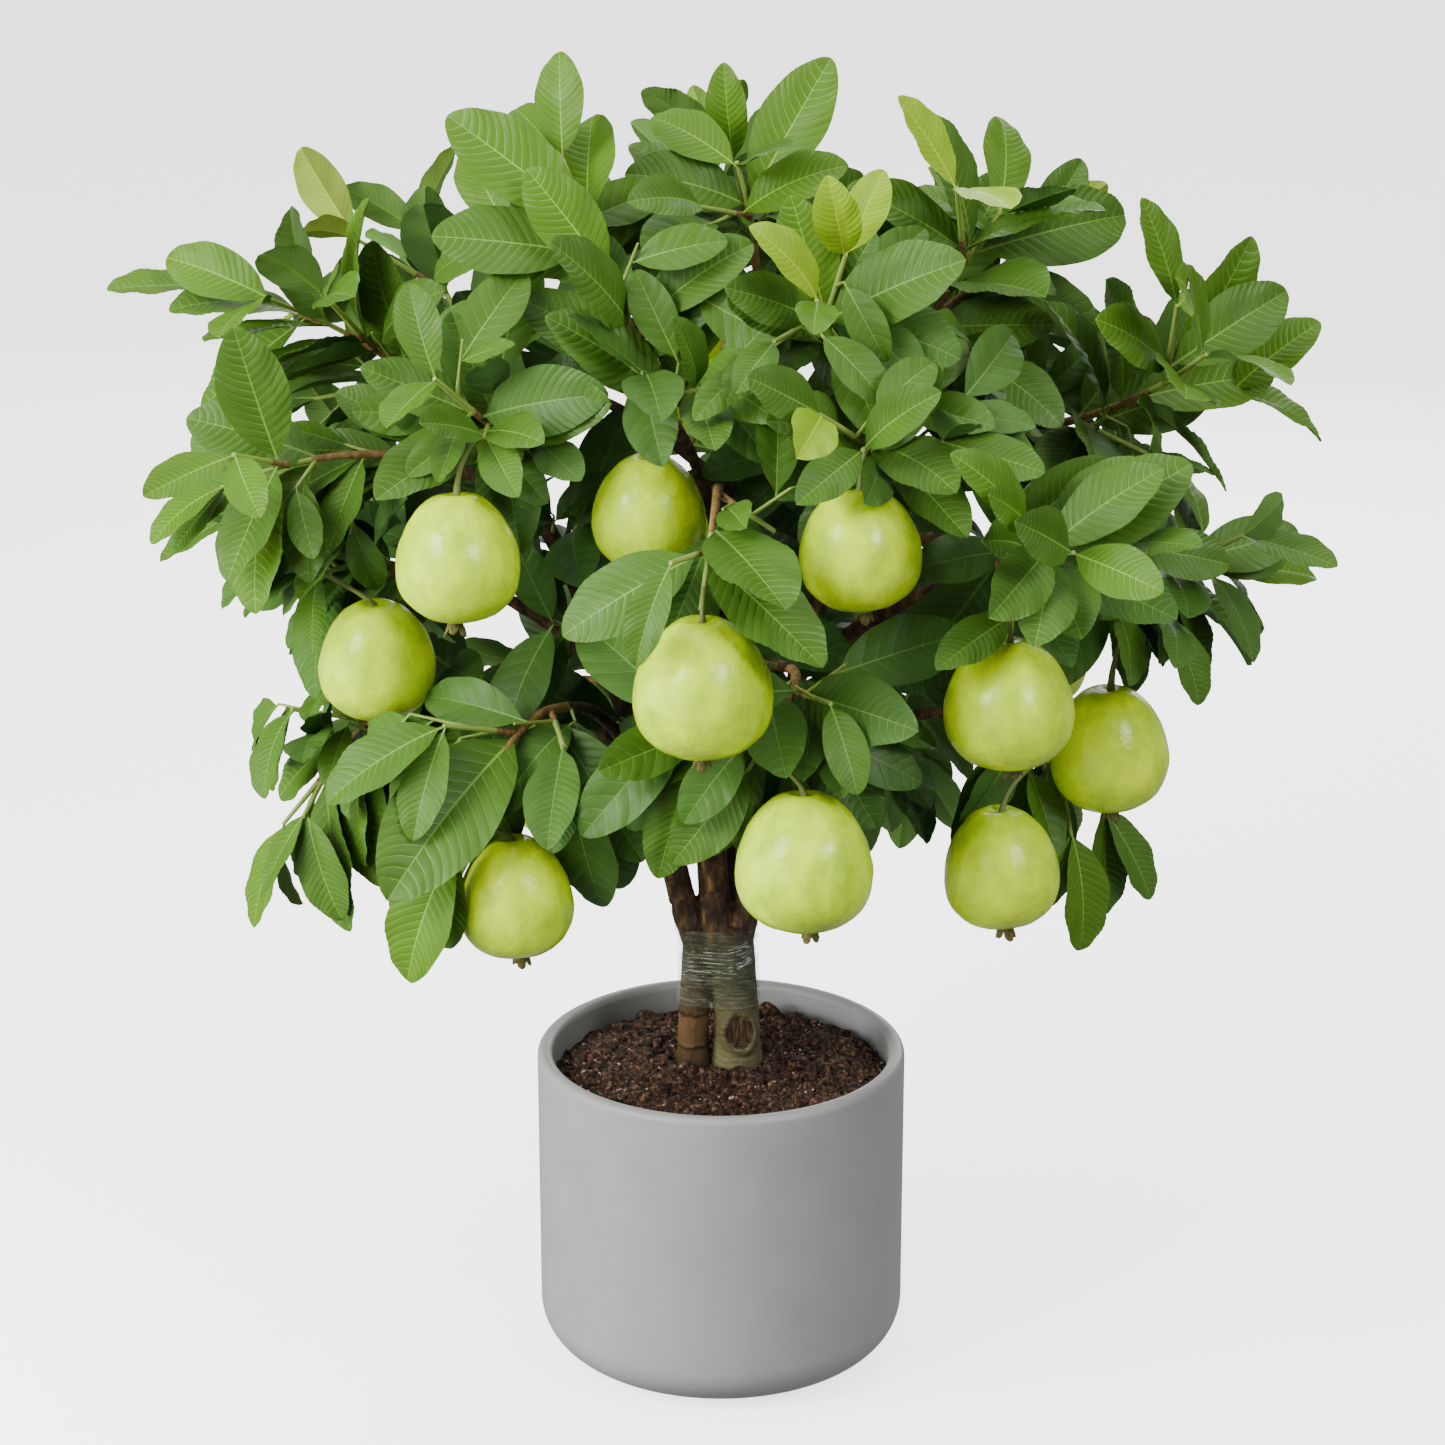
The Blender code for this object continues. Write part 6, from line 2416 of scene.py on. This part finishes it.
@dataclass
class Blade:
    """One ribbed leaf blade, flat and of unit size, which the leaves are bent from.

    Attributes:
        veins: Pairs of side veins.
        reach: Shares of the length at which the first and the last pair leave the midrib.
        columns: Where the blade is divided between midrib and margin.
        vein_half: Half the width of a vein as a share of the length.
        forward: How far the veins run towards the tip.
        crest: Height of the blade between veins as a share of the length.
        trough: Height of a vein beside the midrib, in the same way.
        stalk_half: Half the width of its stalk as a share of the full width.
        outline: How far its widest place is drawn to the foot, and how full it is there.
        rib_half: Half the midrib's width at the foot as a share of the full width.
        rib_height: How far the midrib stands out above and below as a share of the length.
        tips: Shares of the length at which the last rows stand.
    """

    veins: int
    reach: Pair = (0.115, 0.90)
    columns: tuple[float, ...] = (0.0, 0.38, 0.72, 1.0)
    vein_half: float = 0.0021
    forward: float = 0.17
    crest: float = 0.0185
    trough: float = -0.001
    stalk_half: float = 0.020
    outline: Pair = (1.08, 0.66)
    rib_half: float = 0.0165
    rib_height: Pair = (0.0022, 0.0125)
    tips: tuple[float, ...] = (0.950, 0.982, 1.0)

    def half(self, u: float) -> float:
        """Half the blade's width at a share of its length, as a share of the full width.

        Args:
            u: Share of the length.

        Returns:
            The share.
        """
        share = max(0.0, (u - PETIOLE_SHARE) / (1 - PETIOLE_SHARE))
        drawn, full = self.outline
        bulge = max(0.0, math.sin(math.pi * share**drawn)) ** full
        return self.stalk_half + (0.5 - self.stalk_half) * bulge

    def rib(self, u: float) -> float:
        """Half the midrib's width at a share of the length, as a share of the full width."""
        return min(self.rib_half * (1.05 - 0.85 * u), self.half(u) * 0.8)

    def rows(self) -> list[tuple[float, int, int]]:
        """Rows across the blade: share at the midrib, side of the vein it edges, and 1 on a crest.

        Returns:
            The rows from foot to tip.
        """
        rows = [(0.0, 0, 1), (PETIOLE_SHARE * 0.55, 0, 1), (PETIOLE_SHARE, 0, 1)]
        first, last = self.reach
        gap = (last - first) / (self.veins - 1)
        for k in range(self.veins):
            share = first + gap * k
            rows += [(share, -1, 0), (share, 1, 0), (share + gap / 2, 0, 1)]
        return rows[:-1] + [(share, 0, 1) for share in self.tips]

    def corner(self, row: tuple[float, int, int], t: float, hand: int) -> Vector:
        """A point of the upper side as (share of length, share of width, height).

        Args:
            row: The row that it is on.
            t: Share of the way from midrib to margin.
            hand: -1 on the left, 1 on the right.

        Returns:
            The point.
        """
        share, edge, crest = row
        body = PETIOLE_SHARE < share < 1.0
        slope = self.forward * math.sin(math.pi * min(share * 1.04, 1.0)) ** 0.9 if body else 0.0
        lean = slope * t * (0.8 + 0.35 * t)
        u = min(share + lean + edge * self.vein_half * (1 - 0.8 * t), 1.0)
        y = self.rib(u) + (self.half(u) - self.rib(u)) * t
        profile = math.sin(math.pi * min(t * 0.82 + 0.10, 1.0)) if body and t > 0 else 0.0
        height = self.crest * math.sin(math.pi * share) ** 0.5 if crest else self.trough
        return Vector((u, y * hand, height * profile))

    def build(self) -> bpy.types.Object:
        """The blade as a closed sheet with a number for each of its finishes on its faces.

        Returns:
            The blade, which is removed once the leaves are set.
        """
        rows, count = self.rows(), len(self.columns)
        width = 2 * count + 4
        corners: list[Vector] = []
        for row in rows:
            left, right = ([self.corner(row, t, hand) for t in self.columns] for hand in (-1, 1))
            u, thin = right[0].x, 1.15 - 0.75 * right[0].x
            foot = [Vector((u, self.rib(u) * 1.5 * hand, -0.0048 * thin)) for hand in (-1, 1)]
            rise, depth = self.rib_height
            above, below = Vector((u, 0, rise * (1.2 - u))), Vector((u, 0, -depth * thin))
            corners += [below, foot[0], *left[::-1], above, *right, foot[1]]
        faces, regions = [], []
        for i in range(len(rows) - 1):
            vein, leafy = rows[i][1] < 0 < rows[i + 1][1], rows[i][0] >= PETIOLE_SHARE
            for j in range(width):
                a, b = i * width + j, i * width + (j + 1) % width
                faces.append((a, b, b + width, a + width))
                below, rib = j in (1, width - 2), j in (0, width - 1, count + 1, count + 2)
                regions.append(1 if rib or vein or not leafy else 2 if below else 0)
        faces += [tuple(range(width))[::-1], tuple(range(len(corners) - width, len(corners)))]
        regions += [1, 1]
        mesh = new_mesh("leaf_blade", (corners, faces))
        put_values(mesh, "blade", "FLOAT_VECTOR", corners)
        put_values(mesh, "row", "FLOAT", [row[0] for row in rows for _ in range(width)])
        put_values(mesh, "region", "INT", regions, "FACE")
        margins = {2, width - 2}
        for edge in mesh.edges:
            a, b = edge.vertices
            edge.use_edge_sharp = a % width == b % width and a % width in margins
        return add_object("leaf_blade", mesh)


# What each leaf's point carries
LEAF_VECTORS = ("root", "along", "face")
LEAF_NUMBERS = ("length", "width", "arch", "fold", "twist", "phase")


@dataclass
class Foliage:
    """All leaves: a ribbed blade, set and curved at every place that the crown gives.

    Attributes:
        crown: The crown that bears them.
        kinds: For the leaves of the shoots and of the spurs the pieces' name and the pairs of veins.
        wave: Height of the margin's waves as a share of the length.
        waves: How much of a wave's turn, in radians, a blade's length holds.
        curl: How far the margins bend down.
        limits: Least painted light of a leaf's place for each tone, brightest first; the lowest stand for
            painted shade.
        even_depth: Depth in the crown at which a leaf takes neither painted light nor painted shade from its
            depth.
        gains: How much painted light a leaf takes for each metre above and below the crown's middle and for
            its depth, and what chance adds.
        newest: Least age, most length, least height and least depth of the youngest leaves, and the
            share of such leaves that are of their tone.
        most_triangles: Triangles in one piece.
        seed: Seed of the tones' chances.
    """

    crown: Crown
    kinds: tuple[tuple[str, int], ...] = (("leaves", 14), ("spur_leaves", 8))
    wave: float = 0.013
    waves: float = 19.0
    curl: float = 0.42
    limits: tuple[tuple[float, Tone], ...] = (
        # The two lightest tones are painted light and the two darkest painted shade
        (0.92, Tone.FRESH),
        (0.44, Tone.BRIGHT),
        (-0.08, Tone.MATURE),
        (-0.60, Tone.DARK),
        (-9.0, Tone.SHADED),
    )
    even_depth: float = 0.80
    gains: tuple[float, float, float, float] = (1.5, 1.1, 2.2, 0.30)
    newest: tuple[float, float, float, float, float] = (0.9, 0.09, 0.76, 0.85, 0.3)
    most_triangles: int = 190000
    seed: int = 77

    def tree(self) -> bpy.types.NodeTree:
        """The tree that sets the blade at every point and bends it along its leaf's curve.

        Returns:
            The tree.
        """
        reads = dict.fromkeys(("row", *LEAF_NUMBERS), "FLOAT")
        reads.update(dict.fromkeys(("blade", *LEAF_VECTORS), "FLOAT_VECTOR"))
        steps = (
            *((name, READ, {"data_type": kind}, {"Name": name}) for name, kind in reads.items()),
            ("form", "GeometryNodeObjectInfo", {}, {"Object": "in.Blade"}),
            ("copies", SET, {}, {"Points": "in.Geometry", "Instance": "form.Geometry"}),
            ("loose", LOOSE, {}, {"Geometry": "copies"}),
            ("parts", "ShaderNodeSeparateXYZ", {}, {"Vector": "blade"}),
            ("turn", SCALAR, "MULTIPLY", ("arch", "parts.X")),
            ("sine", SCALAR, "SINE", ("turn",)),
            ("cosine", SCALAR, "COSINE", ("turn",)),
            ("bow", SCALAR, "DIVIDE", ("length", "arch")),
            ("out", SCALAR, "MULTIPLY", ("bow", "sine")),
            ("short", SCALAR, "SUBTRACT", (1.0, "cosine")),
            ("drop", SCALAR, "MULTIPLY", ("bow", "short")),
            ("roll", SCALAR, "MULTIPLY", ("twist", "row")),
            ("roll_sine", SCALAR, "SINE", ("roll",)),
            ("roll_cosine", SCALAR, "COSINE", ("roll",)),
            ("side", VECTOR, "CROSS_PRODUCT", ("along", "face")),
            ("face_part", VECTOR, "SCALE", ("face", "cosine")),
            ("along_part", VECTOR, "SCALE", ("along", "sine")),
            ("up", VECTOR, "ADD", ("face_part", "along_part")),
            ("side_a", VECTOR, "SCALE", ("side", "roll_cosine")),
            ("side_b", VECTOR, "SCALE", ("up", "roll_sine")),
            ("across", VECTOR, "ADD", ("side_a", "side_b")),
            ("up_a", VECTOR, "SCALE", ("up", "roll_cosine")),
            ("up_b", VECTOR, "SCALE", ("side", "roll_sine")),
            ("above", VECTOR, "SUBTRACT", ("up_a", "up_b")),
            ("fold_sine", SCALAR, "SINE", ("fold",)),
            ("fold_cosine", SCALAR, "COSINE", ("fold",)),
            ("reach", SCALAR, "MULTIPLY", ("parts.Y", "width")),
            ("sideways", SCALAR, "MULTIPLY", ("reach", "fold_cosine")),
            ("spread", SCALAR, "ABSOLUTE", ("reach",)),
            ("y_size", SCALAR, "ABSOLUTE", ("parts.Y",)),
            ("bent", SCALAR, "MULTIPLY", ("y_size", "in.Curl")),
            ("flat", SCALAR, "MULTIPLY_ADD", ("bent", -2.0, 1.0)),
            ("slope", SCALAR, "MULTIPLY", ("spread", "fold_sine")),
            ("rise", SCALAR, "MULTIPLY", ("slope", "flat")),
            ("wave_place", SCALAR, "MULTIPLY_ADD", ("row", self.waves, "phase")),
            ("hand", SCALAR, "SIGN", ("parts.Y",)),
            ("hand_shift", SCALAR, "MULTIPLY_ADD", ("hand", 0.8, "wave_place")),
            ("ripple", SCALAR, "SINE", ("hand_shift",)),
            ("rippled", SCALAR, "MULTIPLY", ("ripple", "y_size")),
            ("wave_height", SCALAR, "MULTIPLY", ("rippled", "in.Wave")),
            ("relief", SCALAR, "MULTIPLY_ADD", ("wave_height", 2.0, "parts.Z")),
            ("lift", SCALAR, "MULTIPLY_ADD", ("relief", "length", "rise")),
            ("forth", VECTOR, "SCALE", ("along", "out")),
            ("down", VECTOR, "SCALE", ("face", "drop")),
            ("rib_a", VECTOR, "ADD", ("root", "forth")),
            ("rib_b", VECTOR, "SUBTRACT", ("rib_a", "down")),
            ("aside", VECTOR, "SCALE", ("across", "sideways")),
            ("raised", VECTOR, "SCALE", ("above", "lift")),
            ("on_side", VECTOR, "ADD", ("rib_b", "aside")),
            ("spot", VECTOR, "ADD", ("on_side", "raised")),
            ("bent_leaves", MOVE, {}, {"Geometry": "loose", "Position": "spot"}),
        )
        inputs = {"Blade": OBJECT, "Wave": FLOAT, "Curl": FLOAT}
        return grow_tree("set_leaves", inputs, steps, ("Lamina", "Vein", "Underside"))

    def tone(self, leaf: Leaf, draw: random.Random) -> Tone:
        """The green of a leaf: young by its age, else painted light and shade by its height and how deep in
        the crown it stands.

        Args:
            leaf: The leaf.
            draw: Source of its chances.

        Returns:
            Its tone.
        """
        middle = leaf.point(0.5, 0)
        depth = depth_of(middle)
        rise = middle.z - CROWN_MIDDLE.z
        above, below, outside, chance = self.gains
        # Painted light for standing above and below the crown's middle and outside, painted shade for
        # standing deep within
        bright = rise * (above if rise > 0 else -below) + (depth - self.even_depth) * outside
        bright += draw.uniform(-chance, chance)
        age, length, height, depth_least, share = self.newest
        new = leaf.age > age and leaf.length < length and middle.z > height and depth > depth_least
        if new and draw.random() < share:
            return Tone.YOUNG
        return next(tone for limit, tone in self.limits if bright > limit)

    def groups(self) -> dict[tuple[int, str, str], list[tuple[Mass, Leaf]]]:
        """The leaves by kind, tone and side of the crown.

        Returns:
            The leaves of each group, each with its mass.
        """
        draw = random.Random(self.seed)
        found: dict[tuple[int, str, str], list[tuple[Mass, Leaf]]] = {}
        for mass in self.crown.masses:
            side = "left" if mass.twigs[0].points[-1].x < 0 else "right"
            for leaf in mass.leaves:
                kind = int(leaf.draw is mass.finer)
                found.setdefault((kind, self.tone(leaf, draw).value, side), []).append((mass, leaf))
        return found

    def points(self, leaves: Sequence[Leaf]) -> bpy.types.Mesh:
        """One point for each leaf, with all that its curve needs.

        Args:
            leaves: The leaves.

        Returns:
            The mesh of points.
        """
        draw = random.Random(len(leaves))
        mesh = bpy.data.meshes.new("leaf_points")
        mesh.from_pydata([leaf.root for leaf in leaves], [], [])
        for name in LEAF_VECTORS:
            put_values(mesh, name, "FLOAT_VECTOR", [getattr(leaf, name) for leaf in leaves])
        for name in LEAF_NUMBERS[:-1]:
            put_values(mesh, name, "FLOAT", [getattr(leaf, name) for leaf in leaves])
        put_values(mesh, LEAF_NUMBERS[-1], "FLOAT", [draw.uniform(0, math.tau) for _ in leaves])
        return mesh

    def build(self) -> None:
        """Makes the leaves of each kind and tone on each side of the crown."""
        blades = [Blade(veins).build() for _, veins in self.kinds]
        for (kind, tone, side), leaves in sorted(self.groups().items()):
            finishes = zip(("Lamina", "Vein", "Underside"), LEAF_FINISHES[Tone(tone)])
            values = {"Blade": blades[kind], "Wave": self.wave, "Curl": self.curl}
            values.update({label: finish.make() for label, finish in finishes})
            most = self.most_triangles // sum(len(face.vertices) - 2 for face in blades[kind].data.polygons)
            for start in range(0, len(leaves), most):
                part = leaves[start : start + most]
                name = f"{self.kinds[kind][0]}_{tone}_{side}" + (f"_{start // most}" if start else "")
                piece = grown(name, self.points([leaf for _, leaf in part]), self.tree(), values)
                settle(piece, sorted({mass.name for mass, _ in part}))
        for blade in blades:
            bpy.data.objects.remove(blade)


@dataclass
class Studio:
    """The pale floor, the lights and the camera.

    Attributes:
        floor_size: Side of the floor.
        camera_place: Where the camera stands.
        pitch: How far it looks down in degrees.
        focal: Its focal length in the photo's pixels.
        picture: The photo's width in pixels.
        sky: Strength of the light from all round.
        lights: For each light its name, place, aim, size and power, and whether it is seen in the gloss.
    """

    floor_size: float = 60.0
    camera_place: Triple = (0.0011, -2.45, 1.2845)
    pitch: float = 17.7
    focal: float = 3473.0
    picture: int = 1445
    sky: float = 0.38
    lights: tuple[tuple[str, Triple, Triple, float, float, bool], ...] = (
        ("key_light", (-2.3, -2.0, 2.3), (0.0, 0.0, 0.66), 3.0, 168.0, False),
        ("fill_light", (2.0, -1.6, 2.9), (0.0, 0.0, 0.80), 2.4, 62.0, False),
        ("top_light", (0.0, 0.2, 3.2), (0.0, 0.0, 0.6), 2.6, 48.0, True),
        ("front_light", (-1.8, -2.2, 0.6), (0.0, 0.0, 0.5), 1.6, 25.0, False),
        ("back_light", (0.8, 2.8, 1.9), (0.0, 0.0, 0.6), 2.6, 80.0, True),
        ("left_softbox", (-1.9, -1.6, 2.1), (0.0, -0.1, 0.6), 0.8, 56.0, True),
        ("right_softbox", (1.6, -2.0, 2.1), (0.0, -0.1, 0.7), 0.65, 34.0, True),
        ("side_light", (-1.9, -0.5, 0.55), (0.0, 0.0, 0.14), 0.6, 48.0, False),
    )

    def build(self) -> None:
        """Sets up the studio."""
        half = self.floor_size / 2
        corners = [Vector((x * half, y * half, 0.0)) for x, y in ((-1, -1), (1, -1), (1, 1), (-1, 1))]
        plane = new_mesh("floor", (corners, [(0, 1, 2, 3)]), outward=False)
        floor = add_object("floor", plane, FLOOR_PAPER)
        floor.visible_diffuse = floor.visible_glossy = False
        floor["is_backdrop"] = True
        world = bpy.data.worlds.new("studio")
        world.use_nodes = True
        light = {"Color": linear("#FFFFFF"), "Strength": self.sky}
        feed(world.node_tree, world.node_tree.nodes["Background"], light)
        bpy.context.scene.world = world
        for name, place, aim, size, power, glossy in self.lights:
            lamp = bpy.data.lights.new(name, "AREA")
            lamp.size, lamp.energy = size, power
            turn = (Vector(aim) - Vector(place)).to_track_quat("-Z", "Y").to_euler()
            self.put(name, lamp, place, turn).visible_glossy = glossy
        camera = bpy.data.cameras.new("camera")
        camera.sensor_width = 36.0
        camera.lens = 36.0 * self.focal / self.picture
        turn = (math.radians(90 - self.pitch), 0, 0)
        bpy.context.scene.camera = self.put("camera", camera, self.camera_place, turn)

    def put(
        self, name: str, data: bpy.types.ID, place: Sequence[float], turn: Sequence[float]
    ) -> bpy.types.Object:
        """Sets a light or the camera in its place.

        Args:
            name: Its name.
            data: The light or the camera.
            place: Where it stands.
            turn: How it is turned.

        Returns:
            The object.
        """
        made = bpy.data.objects.new(name, data)
        made.location, made.rotation_euler = place, turn
        bpy.context.scene.collection.objects.link(made)
        return made


def write_size() -> None:
    boxes = {"model": MODEL_BOX, "dressed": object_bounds()}
    plain = {name: [[float(number) for number in corner] for corner in box] for name, box in boxes.items()}


def main() -> None:
    """Builds the studio and the plant."""
    logging.basicConfig(level=logging.INFO, format="%(message)s")
    crown = Crown(MASSES)
    crown.grow()
    trunk = Trunk()
    below = (Studio(), Pot(), Soil(), trunk, GraftingFilm(trunk), Limbs())
    for part in (*below, Shoots(crown), FruitSet(crown), Foliage(crown)):
        part.build()
    write_size()


if __name__ == "__main__":
    main()
